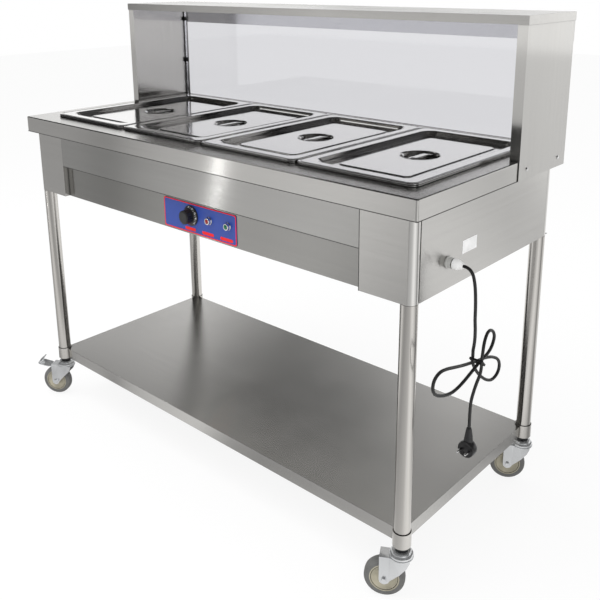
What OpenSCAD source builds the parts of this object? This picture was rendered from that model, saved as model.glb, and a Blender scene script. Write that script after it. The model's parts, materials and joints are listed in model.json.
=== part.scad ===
// Mobile bain marie: a wet-well food warmer for four full-size pans on a
// four-legged trolley, with a serving hutch, a lower shelf and four casters.
// Millimetres, +Z up, the front faces -Y. The origin is on the floor, midway
// between the four legs.

/* [Sheet metal] */
// Thickness of the stainless sheet
sheet_t = 1.5; // [1:0.1:2]
// Thickness of the drawn pans and lids
pan_t = 1; // [0.7:0.1:1.4]
// Gap left at a seam between two panels
seam = 0.3; // [0.2:0.1:0.6]

/* [Worktop] */
// Worktop left beside the row of pans, at each side
side_border = 62.75; // [60:0.25:90]
// Worktop left in front of the pans and behind them
end_border = 60; // [57:1:80]
// Height of the worktop above the floor
worktop_h = 945; // [900:5:1000]
// Height of the worktop's turned-down edge
worktop_lip = 46; // [38:1:56]
// Width of the return under the turned-down edge
worktop_return = 12; // [8:1:15]
// How far the worktop stands out past the body
overhang = 18; // [16:1:24]

/* [Pans and lids] */
// Length of a full-size pan's flange, front to back
pan_l = 530; // [526:1:532]
// Width of a pan's flange
pan_w = 325; // [322:1:326]
// Gap between the flanges of two pans
pan_gap = 1.5; // [1.5:0.1:3]
// Depth of a pan
pan_depth = 145; // [100:5:150]
// Width of a pan's flange beyond its wall
pan_flange = 14.5; // [12:0.5:17]
// Height of the turned-down edge under a pan's flange
pan_edge = 5; // [4:0.5:7]
// Corner radius of a pan's wall
pan_r = 42; // [30:1:60]
// How much narrower a pan is at its bottom, on each side
pan_draft = 7; // [3:1:12]
// How far the row of pans sits to the right of the middle
row_shift = 14; // [0:1:16]
// Width of a lid's flat rim
lid_rim = 30; // [24:1:36]
// How far a lid's floor lies below its rim
lid_sink = 12; // [8:1:16]
// Run of the slope from a lid's rim to its floor
lid_slope = 8; // [5:1:12]
// Height of the raised field in a lid
field_h = 2.5; // [1.5:0.5:4]
// Distance from a lid's floor to its raised field, at the long sides
field_side = 28; // [22:1:32]
// Distance from a lid's floor to its raised field, at the short sides
field_end = 36; // [24:1:44]
// Diameter of the hand recess
recess_d = 96; // [80:1:110]
// Depth of the hand recess
recess_deep = 17; // [14:1:20]
// Width of the strap handle
strap_w = 22; // [16:1:28]
// Thickness of the strap handle
strap_t = 2.5; // [2:0.5:3.5]

/* [Body] */
// Height of the body below the worktop's turned-down edge
body_h = 186; // [180:2:200]
// Width of a front corner plate, measured from the body's side
corner_w = 135; // [110:1:160]
// Height of the front strip between the corner plates
strip_h = 92; // [80:1:96]
// How far the lower front panel lies behind the corner plates
recess = 16; // [12:1:18]
// Width of the returns at the panels' bottom edges
panel_return = 16; // [12:1:24]

/* [Tank] */
// Thickness of the tank's sheet
tank_t = 1.2; // [1:0.1:1.5]
// Depth of the tank from the worktop down
tank_depth = 185; // [182:1:195]
// Width of the tank's rim under the worktop
tank_rim = 12; // [10:1:16]
// Room between a pan and the tank's wall
pan_room = 3; // [2.5:0.5:4]
// Width of the bars between the pans
bar_w = 18; // [14:1:20]
// Diameter of a heating element's tube
element_d = 8.5; // [6:0.5:10]
// Bend radius of a heating element
element_bend = 55; // [40:1:60]
// Height of the elements' middle above the tank's floor
element_up = 18; // [14:1:20]

/* [Legs and shelf] */
// Outer diameter of a leg tube
leg_d = 38; // [32:1:42]
// Wall of a leg tube
leg_wall = 1.5; // [1.2:0.1:2.5]
// Height of the shelf's top face above the floor
shelf_h = 167; // [165:1:220]
// Height of the shelf's turned-down edge
shelf_lip = 33; // [30:1:36]
// Wall of the collars that carry the shelf
collar_wall = 2; // [1.5:0.1:3]
// How far a collar reaches above the shelf
collar_up = 4; // [2:1:10]

/* [Hutch] */
// Height of the hutch's top above the worktop
hutch_h = 325; // [280:5:380]
// Distance from the worktop's front edge to the hutch
hutch_set = 405; // [390:5:415]
// Distance from the worktop's rear edge to the hutch's rear
hutch_rear = 5; // [4:1:10]
// Width of the front return of a hutch side
hutch_front_return = 25; // [20:1:32]
// Width of the rear return of a hutch side
hutch_rear_return = 17; // [14:1:24]
// Height of the hutch top's turned-down edge
hutch_lip = 20; // [16:1:28]
// Height of the hutch top's rear edge
hutch_rear_lip = 70; // [50:1:90]
// Gap between a hutch side and the worktop's edge
skin_gap = 1; // [0.6:0.1:1.4]
// Thickness of the glass
glass_t = 5; // [4:1:6]

/* [Controls] */
// Width of the control plate
plate_w = 276; // [260:1:300]
// Height of the control plate
plate_h = 80; // [76:1:86]
// Thickness of the control plate
plate_t = 1.5; // [1:0.1:2]
// Diameter of the knob's skirt
knob_d = 54; // [44:1:58]
// Diameter of the knob's grip
grip_d = 36; // [30:1:40]
// Height of the knob
knob_h = 27; // [22:1:28]
// Diameter of a lamp's bezel
lamp_d = 21; // [18:1:24]
// How far a lamp stands out of the plate
lamp_out = 10; // [8:1:14]

/* [Casters] */
// Diameter of a caster's wheel
wheel_d = 94; // [88:1:96]
// Width of a caster's tyre
wheel_w = 24; // [22:1:26]
// Diameter of a caster's hub
hub_d = 62; // [54:1:66]
// Distance from a caster's swivel axis to its axle
trail = 36; // [30:1:40]
// Direction in which the casters trail at rest, from -X towards -Y
trail_angle = 30; // [0:5:60]
// Thickness of a fork's plates
fork_t = 2.5; // [2:0.1:3]

/* [Hidden] */
$fn = 48;

steel = [0.74, 0.74, 0.73];
bright = [0.83, 0.83, 0.84];
zinc = [0.78, 0.80, 0.81];
black = [0.05, 0.05, 0.05];

// Worktop, from the row of pans and its borders
pan_n = 4;
pan_pitch = pan_w + pan_gap;
row_l = (pan_n - 1) * pan_pitch;
worktop_l = row_l + pan_w + 2 * side_border;
worktop_d = pan_l + 2 * end_border;

// Body and frame, from the worktop's size and its overhang
body_x = worktop_l / 2 - overhang;          // outer face of a side panel
body_y = worktop_d / 2 - overhang;          // outer face of the front and rear panels
leg_r = leg_d / 2;
leg_x = body_x - leg_r;
leg_y = body_y - leg_r;
top_under = worktop_h - sheet_t;            // underside of the worktop's sheet
body_z = worktop_h - worktop_lip - body_h;  // bottom of the body
strip_z = worktop_h - worktop_lip - strip_h; // bottom of the front strip
plate_edge = body_x - corner_w;             // inner edge of a front corner plate
panel_y = -body_y + recess;                 // outer face of the lower front panel
post_clear = sqrt(pow(leg_r, 2) - pow(leg_r - sheet_t, 2)) + seam; // where a panel meets a post

// Pans, tank and opening
wall_l = pan_l - 2 * pan_flange;            // a pan's wall at the flange
wall_w = pan_w - 2 * pan_flange;
rim_z = worktop_h + pan_edge;               // top of a pan's flange
lid_edge = 4;                               // height of a lid's turned-down edge
lid_z = rim_z + lid_edge;                   // top of a lid's rim
tank_x = (row_l + wall_w) / 2 + pan_room;   // half of the tank's inside
tank_y = wall_l / 2 + pan_room;
ledge = 2;                                  // tank's rim that shows inside the opening
tank_z = worktop_h - tank_depth;            // underside of the tank's floor
open_r = 7;                                  // corners of the worktop's opening
tank_wall = top_under - tank_z - tank_t;    // height of the tank's walls
function pan_x(i) = row_shift + (i - (pan_n + 1) / 2) * pan_pitch;

// Heating elements: two hairpins that enter through the tank's right wall
element_z = tank_z + tank_t + element_up;
element_y = [-120, 120];
element_end = 80;                           // from the tank's left wall to the bend
bracket_in = 220;                           // from the tank's end walls to the outer brackets
bracket_t = 2;
bush_d = 18;
bush_l = 7;                                 // bush on each side of the tank's wall
neck_r = bush_d / 2 - 3;
cover_h = 40;
cover_out = 22;

// Drain under the rear left of the tank
drain_x = row_shift - tank_x + 126.75;
drain_y = tank_y - 103.5;
drain_d = 22;
valve_z = body_z - 42;
lever_l = 85;
lever_t = 2.5;
stub_d = 6;                                 // pin that the lever turns on
boss_y = drain_d / 2 + 13;                  // from the pipe's axis to the boss's face
slot_w = 4;                                 // cooling slots in the bottom cover
slot_l = 28;
slot_step = 14;
slot_row = 40;

// Legs, shelf and casters
joint_fit = 0.3;                            // gap round a spigot or sleeve
collar_r = leg_r + joint_fit + collar_wall;
collar_z = shelf_h - shelf_lip;
notch_r = collar_r + seam;                  // cut in the shelf's corners
stiff_w = 60;                               // channels under the shelf
stiff_h = 22;
wheel_r = wheel_d / 2;
fork_in = wheel_w + 5;                      // gap between a fork's plates
crown_z = wheel_d + 10;                     // underside of a fork's crown
crown_r = 27.5;
axle_d = 8;
run_fit = 0.05;                             // radial running clearance
stem_d = 12;
race_z = crown_z + fork_t;
race_h = 15;
race_r = 25.5;
race_gap = 0.3;
tail_x = trail + 12;                        // trailing edge of a fork's plates
head_x = -20;                               // their leading edge
bend_x = trail - 10;                        // where a plate's wing leaves its leg
fork_half = fork_in / 2 + fork_t;
flare_x = 2;                                // where the wings stand furthest out
flare_y = fork_half + 7;
pedal_x = 24;                               // brake pedal's hinge pin
pedal_z = wheel_d + 4.6;
pedal_d = 5;
pedal_t = 2;

// Hutch
skin_in = worktop_l / 2 + skin_gap;         // inner face of a hutch side
skin_out = skin_in + sheet_t;
hutch_y0 = -worktop_d / 2 + hutch_set;
hutch_y1 = worktop_d / 2 - hutch_rear;
hutch_z = worktop_h + hutch_h;
side_top = hutch_z - sheet_t;
glass_y = hutch_y1 - sheet_t - joint_fit - glass_t; // front face of the glass
glass_side = 5;                             // room beside the glass and above it
glass_head = 6;
screw_in = 39;                              // from the hutch's front and rear edges
screw_y = [hutch_y0 + screw_in, hutch_y1 - screw_in];
screw_z = worktop_h - worktop_lip / 2;
screw_r = 2;
clip_low = 122;                             // clips above the worktop and below the hutch's top
clip_high = 59;
clip_z = [worktop_h + clip_low, hutch_z - clip_high];
clip_l = 12;
clip_h = 14;

// Controls, measured from the control plate's place on the lower front panel
plate_x = 38;
plate_z = body_z + 44;
plate_y = panel_y - plate_t;                // front face of the control plate
knob_x = 8;
control_z = plate_z + 7;
lamp_x = [78, 147];
skirt_h = 2.5;
knob_edge = 1.5;
knob_cone = 6;                               // height of the cone that carries the dial
spindle_d = 6;
spindle_in = 13;                            // depth of the spindle's hole behind the panel
lens_d = 12;
lens_round = 10;                             // radius of a lens's domed front
bezel_edge = 1.5;
case_w = 42;                                // thermostat's case and bulb
bulb_d = 7;
bulb_l = 90;
bulb_x = 40;

// Cable gland on the right side; the cord, its tie and the plug are measured from it
gland_y = -body_y + 129;
gland_z = body_z + 61;
gland_out = 38;
gland_grip = 12;                            // depth to which the cord enters the gland
cord_d = 7;
cord_n = 8;
loop_n = 6;
drop_route = [[gland_out - gland_grip, 0, 0], [39, 0, 0], [47, 0, -1], [55, 0, -5], [61, 0, -13],
    [65, 0, -25], [68, 0, -42], [70, 0, -64], [71, 0, -87], [71, 1, -111], [71, 4, -135],
    [69, 8, -158], [65, 13, -177], [61.5, 17, -189], [61, 18, -197], [61, 18, -204]];
loop_route = [[61, 18, -204], [61, 18, -212], [61, 21, -223], [61, 29, -236], [63, 40, -251],
    [66, 53, -265], [69, 69, -277], [71, 87, -284], [72, 104, -282], [72, 117, -273],
    [72, 120, -259], [72, 112, -244], [71, 96, -233], [70, 77, -225], [68.5, 57, -220],
    [68.5, 36, -216], [68.5, 14, -212], [69, -13, -206], [71, -42, -198], [72, -74, -189],
    [72, -104, -181], [72, -130, -178], [72, -149, -186], [72, -155, -202], [72, -147, -218],
    [72, -129, -230], [72, -107, -238], [73, -84, -242], [74, -62, -240], [75, -40, -234],
    [76, -19, -226], [76, 0, -220], [76, 18, -214], [76, 37, -210], [75, 55, -207], [74, 71, -201],
    [73, 82, -191], [73, 86, -178], [73, 80, -165], [73, 67, -157], [75, 51, -157], [78, 37, -164],
    [81, 26, -175], [83, 20, -187], [83.5, 17, -198], [83.5, 16, -207], [83.5, 16, -215]];
tail_route = [[83.5, 16, -215], [83.5, 16, -223], [83, 12, -238], [80, 6, -255], [77, 1, -274],
    [74, -2, -295], [73, -3, -317], [73, -3, -338], [73, -3, -353], [73, -3, -361]];
loop_steps = 2;                             // rings made for each point of loop_route
tie_y = 18;
tie_z = -212;
tie_w = 4;
tie_t = 1.2;
tie_in = 20.4;
tie_fit = 0.2;
plug_x = 73;
plug_y = -3;
plug_z = -409;
plug_top = -361;
head_r = 19;
head_l = 24;
pin_d = 4.8;
pin_l = 19;
pin_gap = 19;

// Shapes that repeat
module square_c(l, w, r) {
    union() {
        square([l - 2 * r, w], center = true);
        square([l, w - 2 * r], center = true);
        for (sx = [-1, 1], sy = [-1, 1]) translate([sx * (l / 2 - r), sy * (w / 2 - r)]) circle(r);
    }
}
module slab(l, w, h, r) linear_extrude(height = h) square_c(l, w, r);
module at_corners(x, y) for (sx = [-1, 1], sy = [-1, 1]) translate([sx * x, sy * y, 0]) children();
module tube(r, wall, h) difference() {
    cylinder(r = r, h = h);
    translate([0, 0, -1]) cylinder(r = r - wall, h = h + 2);
}
module along_x(r, l) rotate([0, 90, 0]) cylinder(r = r, h = l);
module along_y(r, l) rotate([-90, 0, 0]) cylinder(r = r, h = l);
// A tapered block with round corners: its size at the bottom and at the top
module taper(l0, w0, r0, l1, w1, r1, h) hull() {
    linear_extrude(height = 0.01) square_c(l0, w0, r0, $fn = 32);
    translate([0, 0, h - 0.01]) linear_extrude(height = 0.01) square_c(l1, w1, r1, $fn = 32);
}

// Worktop: one folded sheet with the opening that the pans hang in
module worktop() color(steel) difference() {
    translate([0, 0, worktop_h - worktop_lip]) slab(worktop_l, worktop_d, worktop_lip, 3);
    translate([0, 0, worktop_h - worktop_lip + sheet_t])
        slab(worktop_l - 2 * sheet_t, worktop_d - 2 * sheet_t, worktop_lip - 2 * sheet_t, 2);
    translate([0, 0, worktop_h - worktop_lip - 1])
        slab(worktop_l - 2 * worktop_return, worktop_d - 2 * worktop_return, sheet_t + 2, 1);
    translate([row_shift, 0, worktop_h - sheet_t - 1])
        slab(2 * (tank_x + ledge), 2 * (tank_y + ledge), sheet_t + 2, open_r);
    for (sx = [-1, 1], y = screw_y) translate([sx * worktop_l / 2 - 10, y, screw_z]) along_x(screw_r + 0.1, 20);
}

// Bars that carry the long sides of neighbouring pans
module pan_support_bars() color(steel) for (i = [1:pan_n - 1]) translate([pan_x(i) + pan_pitch / 2, 0, 0]) {
    translate([-bar_w / 2, -tank_y - ledge + seam, top_under])
        cube([bar_w, 2 * (tank_y + ledge - seam), sheet_t]);
    translate([-sheet_t / 2, -tank_y + 3, top_under - 18]) cube([sheet_t, 2 * tank_y - 6, 18]);
}

// Water tank: a floor sheet with the drain hole, and four walls with out-turned rims welded on it
module water_tank() color(steel) difference() {
    translate([row_shift - tank_x - tank_t, -tank_y - tank_t, tank_z])
        cube([2 * (tank_x + tank_t), 2 * (tank_y + tank_t), tank_t]);
    translate([drain_x, drain_y, tank_z - 1]) cylinder(d = drain_d, h = tank_t + 2);
}
module tank_long_wall() {
    translate([-tank_x - tank_t, tank_y, tank_z + tank_t]) cube([2 * (tank_x + tank_t), tank_t, tank_wall]);
    translate([-tank_x - tank_rim, tank_y, top_under - tank_t]) cube([2 * (tank_x + tank_rim), tank_rim, tank_t]);
}
module tank_end_wall() {
    y1 = tank_y - seam;
    translate([tank_x, -y1, tank_z + tank_t]) cube([tank_t, 2 * y1, tank_wall]);
    translate([tank_x, -y1, top_under - tank_t]) cube([tank_rim, 2 * y1, tank_t]);
}
module tank_walls() color(steel) translate([row_shift, 0, 0]) difference() {
    union() {
        tank_long_wall();
        mirror([0, 1, 0]) tank_long_wall();
        tank_end_wall();
        mirror([1, 0, 0]) tank_end_wall();
    }
    for (y = element_y, s = [-1, 1])
        translate([tank_x - 1, y + s * element_bend, element_z]) along_x(neck_r, tank_t + 2);
}

// Two hairpin elements on brackets, and the bushes that seal them in the tank's right wall
module hairpin() {
    x_left = row_shift - tank_x + element_end + element_bend;
    x_right = row_shift + tank_x + tank_t + bush_l + 5;
    for (s = [-1, 1]) translate([x_left, s * element_bend, 0]) along_x(element_d / 2, x_right - x_left);
    translate([x_left, 0, 0]) rotate([0, 0, 90]) rotate_extrude(angle = 180)
        translate([element_bend, 0]) circle(element_d / 2);
}
module bracket() difference() {
    translate([0, -element_bend - 12, -element_up]) cube([bracket_t, 2 * element_bend + 24, element_up + 3]);
    for (s = [-1, 1]) translate([-1, s * element_bend, 0]) along_x(element_d / 2 + run_fit, bracket_t + 2);
}
module bush() difference() {
    union() {
        translate([-bush_l, 0, 0]) along_x(bush_d / 2, bush_l);
        along_x(neck_r - run_fit / 2, tank_t);
        translate([tank_t, 0, 0]) along_x(bush_d / 2, bush_l, $fn = 6);
    }
    translate([-bush_l - 1, 0, 0]) along_x(element_d / 2 + run_fit, 2 * bush_l + tank_t + 2);
}
module heating_elements() color([0.45, 0.42, 0.40]) for (y = element_y) translate([0, y, element_z]) {
    hairpin();
    for (x = [-1, 0, 1]) translate([row_shift + x * (tank_x - bracket_in), 0, 0]) bracket();
}
module element_bushes() color([0.72, 0.66, 0.42]) for (y = element_y, s = [-1, 1])
    translate([row_shift + tank_x, y + s * element_bend, element_z]) bush();

// Cover over the elements' terminals, outside the tank's right wall
module element_cover() color(steel) {
    x0 = row_shift + tank_x + tank_t;
    y1 = element_y[1] + element_bend + 22;
    difference() {
        translate([x0, -y1, element_z - cover_h / 2]) cube([cover_out, 2 * y1, cover_h]);
        translate([x0 - 1, -y1 + sheet_t, element_z - cover_h / 2 + sheet_t])
            cube([cover_out + 1 - sheet_t, 2 * (y1 - sheet_t), cover_h - 2 * sheet_t]);
    }
}

// Thermostat behind the lower front panel, with its sensing bulb on the tank
module thermostat() color([0.82, 0.80, 0.74]) {
    back_y = panel_y + sheet_t;
    bulb_y = -tank_y - tank_t - bulb_d / 2;
    case_d = bulb_y - bulb_d - back_y;
    difference() {
        translate([knob_x - case_w / 2, back_y, control_z - case_w / 2]) cube([case_w, case_d, case_w]);
        translate([knob_x, panel_y, control_z]) along_y(spindle_d / 2 + run_fit, spindle_in + sheet_t);
    }
    for (s = [-1, 1]) translate([knob_x + s * 10, back_y + case_d, control_z - 8]) cube([4, 4, 2]);
    // the bulb, its clip on the tank's wall, and the tube that joins it to the case
    translate([knob_x + bulb_x, bulb_y, element_z]) along_x(bulb_d / 2, bulb_l);
    translate([knob_x + bulb_x - 26, bulb_y, element_z]) along_x(1, 27);
    translate([knob_x + bulb_x - 25, back_y + case_d - 1, element_z]) along_y(1, bulb_d + 2);
    translate([knob_x + bulb_x + 20, -tank_y - tank_t - bulb_d - 2, element_z - 5]) cube([8, bulb_d + 2, 10]);
}

// Ball valve on the tank's outlet, below the body
module drain_valve() color([0.72, 0.66, 0.42]) translate([drain_x, drain_y, 0]) {
    pipe_z = valve_z + 10;
    difference() {
        union() {
            translate([0, 0, tank_z - 5]) cylinder(d = drain_d + 16, h = 5);
            translate([0, 0, pipe_z + 4]) cylinder(d = drain_d, h = tank_z - 5 - pipe_z - 4);
            translate([0, 0, pipe_z]) cylinder(d = drain_d + 8, h = 9, $fn = 6);
            translate([0, 0, valve_z - 10]) cylinder(d = drain_d + 5, h = 20);
            translate([0, 0, valve_z - 19]) cylinder(d = drain_d + 8, h = 9, $fn = 6);
            translate([0, 0, valve_z - 34]) cylinder(d = drain_d, h = 16);
            translate([0, -boss_y, valve_z]) along_y(6, 12);
        }
        translate([0, 0, valve_z - 35]) cylinder(d = drain_d - 6, h = 25);
        translate([0, 0, pipe_z]) cylinder(d = drain_d - 6, h = tank_z - pipe_z + 1);
    }
    stub_y = -boss_y - 2 * seam - lever_t - 4;
    translate([0, stub_y, valve_z]) along_y(stub_d / 2, -boss_y - stub_y);
    translate([0, stub_y, valve_z]) along_y(5.5, 4, $fn = 6);
}
module drain_lever() color([0.75, 0.1, 0.1])
    translate([drain_x, drain_y - boss_y - seam - lever_t, valve_z]) difference() {
        union() {
            along_y(9, lever_t);
            translate([0, 0, -6]) cube([lever_l - 6, lever_t, 12]);
            translate([lever_l - 6, 0, 0]) along_y(6, lever_t);
        }
        translate([0, -1, 0]) along_y(stub_d / 2 + run_fit, lever_t + 2);
    }

// Front of the body: strip, two corner plates and the recessed lower panel
module front_strip() color(steel) {
    l = 2 * (plate_edge - seam);
    translate([-l / 2, -body_y, strip_z]) cube([l, sheet_t, top_under - strip_z]);
    translate([-l / 2, -body_y, strip_z]) cube([l, recess - seam, sheet_t]);
}
module front_corner_plates() color(steel) for (s = [-1, 1]) mirror([s < 0 ? 1 : 0, 0, 0]) {
    translate([plate_edge, -body_y, body_z])
        cube([leg_x - post_clear - plate_edge, sheet_t, top_under - body_z]);
    translate([plate_edge, -body_y, body_z]) cube([sheet_t, recess + sheet_t, strip_z - seam - body_z]);
    translate([plate_edge, -body_y, body_z]) cube([leg_x - leg_r - seam - plate_edge, panel_return, sheet_t]);
}
module lower_front_panel() color(steel) difference() {
    l = 2 * (plate_edge - seam);
    union() {
        translate([-l / 2, panel_y, body_z]) cube([l, sheet_t, strip_z + 12 - body_z]);
        translate([-l / 2, panel_y, body_z]) cube([l, panel_return, sheet_t]);
    }
    translate([knob_x, panel_y - 1, control_z]) along_y(spindle_d / 2 + 1, sheet_t + 2);
    for (x = lamp_x) translate([x, panel_y - 1, control_z]) along_y(lens_d / 2 + 1.5, sheet_t + 2);
}

// Sides, rear and bottom of the body
module side_panel() {
    y1 = leg_y - post_clear;
    translate([body_x - sheet_t, -y1, body_z]) cube([sheet_t, 2 * y1, top_under - body_z]);
    translate([body_x - panel_return, -y1 + 12, body_z]) cube([panel_return, 2 * y1 - 24, sheet_t]);
}
module side_panels() color(steel) difference() {
    union() {
        side_panel();
        mirror([1, 0, 0]) side_panel();
    }
    translate([body_x - sheet_t - 1, gland_y, gland_z]) along_x(8, sheet_t + 2);
}
module rear_panel() color(steel) {
    x1 = leg_x - post_clear;
    translate([-x1, body_y - sheet_t, body_z]) cube([2 * x1, sheet_t, top_under - body_z]);
    translate([-x1 + 12, body_y - panel_return, body_z]) cube([2 * x1 - 24, panel_return, sheet_t]);
}
module bottom_cover() color(steel) difference() {
    x1 = body_x - sheet_t - seam;
    y0 = panel_y + sheet_t + seam;
    translate([-x1, y0, body_z + sheet_t]) cube([2 * x1, body_y - sheet_t - seam - y0, sheet_t]);
    at_corners(leg_x, leg_y) translate([0, 0, body_z]) cylinder(r = leg_r + seam, h = 4 * sheet_t);
    translate([drain_x, drain_y, body_z]) cylinder(d = drain_d + 12, h = 4 * sheet_t);
    for (i = [0:10], j = [-3:3])
        translate([x1 - 275 + i * slot_step, j * slot_row, body_z + sheet_t - 1])
            linear_extrude(height = sheet_t + 2) square_c(slot_w, slot_l, slot_w / 2 - 0.1);
}

// Corner posts show as bright strips; the legs join them on spigots below the body
module corner_posts() color(bright) at_corners(leg_x, leg_y) {
    translate([0, 0, body_z]) tube(leg_r, leg_wall, top_under - body_z);
    translate([0, 0, body_z - 30]) tube(leg_r - leg_wall - joint_fit, 2, 50);
    translate([0, 0, body_z]) tube(leg_r - leg_wall / 2, leg_wall + joint_fit + 0.5, 6);
}
module legs() color(steel) at_corners(leg_x, leg_y) translate([0, 0, collar_z])
    difference() {
        cylinder(r = leg_r, h = body_z - collar_z);
        translate([0, 0, -1]) cylinder(r = leg_r - leg_wall, h = body_z - collar_z + 2);
        translate([0, 0, body_z - collar_z - 1.2]) difference() {
            cylinder(r = leg_r + 1, h = 2);
            translate([0, 0, -1]) cylinder(r = leg_r - 0.6, h = 4);
        }
    }
module shelf_collars() color(steel) at_corners(leg_x, leg_y) translate([0, 0, collar_z])
    tube(collar_r, collar_wall, shelf_lip + collar_up);

// Lower shelf: a tray turned upside down whose corners are cut round the collars
module lower_shelf() color(steel) difference() {
    translate([0, 0, collar_z]) slab(2 * leg_x, 2 * leg_y, shelf_lip, 2);
    translate([0, 0, collar_z - 1])
        slab(2 * (leg_x - sheet_t), 2 * (leg_y - sheet_t), shelf_lip + 1 - sheet_t, 1);
    at_corners(leg_x, leg_y) translate([0, 0, collar_z - 1]) cylinder(r = notch_r, h = shelf_lip + 2);
}
module shelf_stiffeners() color(steel) for (x = [-leg_x / 2, 0, leg_x / 2])
    translate([x - stiff_w / 2, -leg_y + sheet_t + seam, shelf_h - sheet_t - stiff_h]) difference() {
        cube([stiff_w, 2 * (leg_y - sheet_t - seam), stiff_h]);
        translate([sheet_t, -1, sheet_t]) cube([stiff_w - 2 * sheet_t, 2 * leg_y, stiff_h]);
    }

// Hutch: folded sides, a top tray, a glass back held by clips, and its screws
module hutch_side() difference() {
    union() {
        translate([skin_in, hutch_y0, worktop_h - worktop_lip])
            cube([sheet_t, hutch_y1 - hutch_y0, side_top - worktop_h + worktop_lip]);
        translate([skin_out - hutch_front_return, hutch_y0, worktop_h])
            cube([hutch_front_return, sheet_t, side_top - worktop_h]);
        translate([skin_out - hutch_rear_return, hutch_y1 - sheet_t, worktop_h])
            cube([hutch_rear_return, sheet_t, side_top - worktop_h]);
    }
    for (y = screw_y) translate([skin_in - 1, y, screw_z]) along_x(screw_r + 0.1, sheet_t + 2);
}
module hutch_sides() color(steel) {
    hutch_side();
    mirror([1, 0, 0]) hutch_side();
}
module hutch_top() color(steel) {
    l = 2 * (skin_out + seam + sheet_t);
    y0 = hutch_y0 - seam - sheet_t;
    y1 = hutch_y1 + seam + sheet_t;
    translate([-l / 2, y0, hutch_z - sheet_t]) cube([l, y1 - y0, sheet_t]);
    translate([-l / 2, y0, hutch_z - hutch_lip]) cube([l, sheet_t, hutch_lip]);
    for (x = [-l / 2, l / 2 - sheet_t]) translate([x, y0, hutch_z - hutch_lip])
        cube([sheet_t, y1 - y0, hutch_lip]);
    translate([-l / 2, y1 - sheet_t, hutch_z - hutch_lip]) cube([l, sheet_t, hutch_lip]);
    translate([-skin_out, y1 - sheet_t, hutch_z - hutch_rear_lip])
        cube([2 * skin_out, sheet_t, hutch_rear_lip]);
}
module hutch_glass() color([0.82, 0.86, 0.88, 0.5]) translate([-skin_in + glass_side, glass_y, worktop_h])
    cube([2 * (skin_in - glass_side), glass_t, side_top - glass_head - worktop_h]);
module glass_clips() color([0.15, 0.15, 0.16]) for (s = [-1, 1], z = clip_z) mirror([s < 0 ? 1 : 0, 0, 0])
    translate([0, 0, z - clip_h / 2]) {
        translate([skin_in - 1.5, glass_y - 6, 0]) cube([1.5, 6, clip_h]);
        translate([skin_in - clip_l, glass_y - 1.8 - seam, 0]) cube([clip_l, 1.8, clip_h]);
        translate([skin_in - 3.5, glass_y - 4.5, clip_h / 2]) along_x(1.6, 2.5);
    }
module hutch_screws() color(bright) for (s = [-1, 1], y = screw_y) mirror([s < 0 ? 1 : 0, 0, 0])
    translate([0, y, screw_z]) {
        translate([skin_in - skin_gap - 12, 0, 0]) along_x(screw_r, 14 + skin_gap);
        translate([skin_out, 0, 0]) along_x(4.5, 1);
        translate([skin_out + 1, 0, 0]) along_x(3.4, 1.2);
        translate([skin_in - skin_gap - sheet_t - 4, 0, 0]) along_x(3.6, 4, $fn = 6);
        translate([skin_in - skin_gap, 0, 0]) difference() {
            along_x(5, skin_gap);
            translate([-1, 0, 0]) along_x(screw_r + 0.1, skin_gap + 2);
        }
    }

// Controls: plate, knob and two pilot lamps
module control_plate() color([0.16, 0.28, 0.66]) translate([plate_x, panel_y, plate_z]) rotate([90, 0, 0])
    linear_extrude(height = plate_t) difference() {
        square_c(plate_w, plate_h, 6);
        translate([knob_x - plate_x, control_z - plate_z]) circle(spindle_d / 2 + 1);
        for (x = lamp_x) translate([x - plate_x, control_z - plate_z]) circle(lens_d / 2 + 1.5);
    }
module thermostat_knob() color(black) translate([knob_x, plate_y - seam, control_z]) rotate([90, 0, 0]) {
    cylinder(d = knob_d, h = skirt_h);
    translate([0, 0, skirt_h]) cylinder(r1 = knob_d / 2 - 0.5, r2 = grip_d / 2 + 1.5, h = knob_cone);
    translate([0, 0, skirt_h + knob_cone]) linear_extrude(height = knob_h - skirt_h - knob_cone - knob_edge) difference() {
        circle(grip_d / 2);
        for (a = [0:20:340]) rotate(a) translate([grip_d / 2 + 0.7, 0]) circle(1.8, $fn = 24);
    }
    translate([0, 0, knob_h - knob_edge])
        cylinder(r1 = grip_d / 2 - 1.5, r2 = grip_d / 2 - 3.5, h = knob_edge);
    translate([0, 0, 1 - spindle_in]) cylinder(d = spindle_d, h = spindle_in);
}
module lamp_bezels() color(bright) for (x = lamp_x) translate([x, plate_y, control_z]) rotate([90, 0, 0]) {
    behind = plate_t + sheet_t + 4;
    difference() {
        union() {
            rotate_extrude() polygon([[0, 0], [lamp_d / 2, 0], [lamp_d / 2, 2],
                [lamp_d / 2 - bezel_edge, 2 + bezel_edge], [lamp_d / 2 - bezel_edge, lamp_out - 1],
                [lamp_d / 2 - bezel_edge - 1, lamp_out], [0, lamp_out]]);
            // barrel and nut behind the panel
            translate([0, 0, -behind - 10]) cylinder(r = lens_d / 2 + 1.2, h = behind + 11);
            translate([0, 0, -behind]) cylinder(r = lamp_d / 2, h = 4, $fn = 6);
        }
        translate([0, 0, lamp_out - 6]) cylinder(d = lens_d, h = 7);
    }
}
module lens(x) translate([x, plate_y - lamp_out + 6, control_z]) rotate([90, 0, 0]) {
    cylinder(d = lens_d - 0.2, h = 6);
    translate([0, 0, 6]) intersection() {
        cylinder(d = lens_d - 0.2, h = 3);
        translate([0, 0, 2 - lens_round]) sphere(r = lens_round);
    }
}
module red_lens() color([0.75, 0.05, 0.05]) lens(lamp_x[0]);
module green_lens() color([0.05, 0.45, 0.2]) lens(lamp_x[1]);

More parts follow.
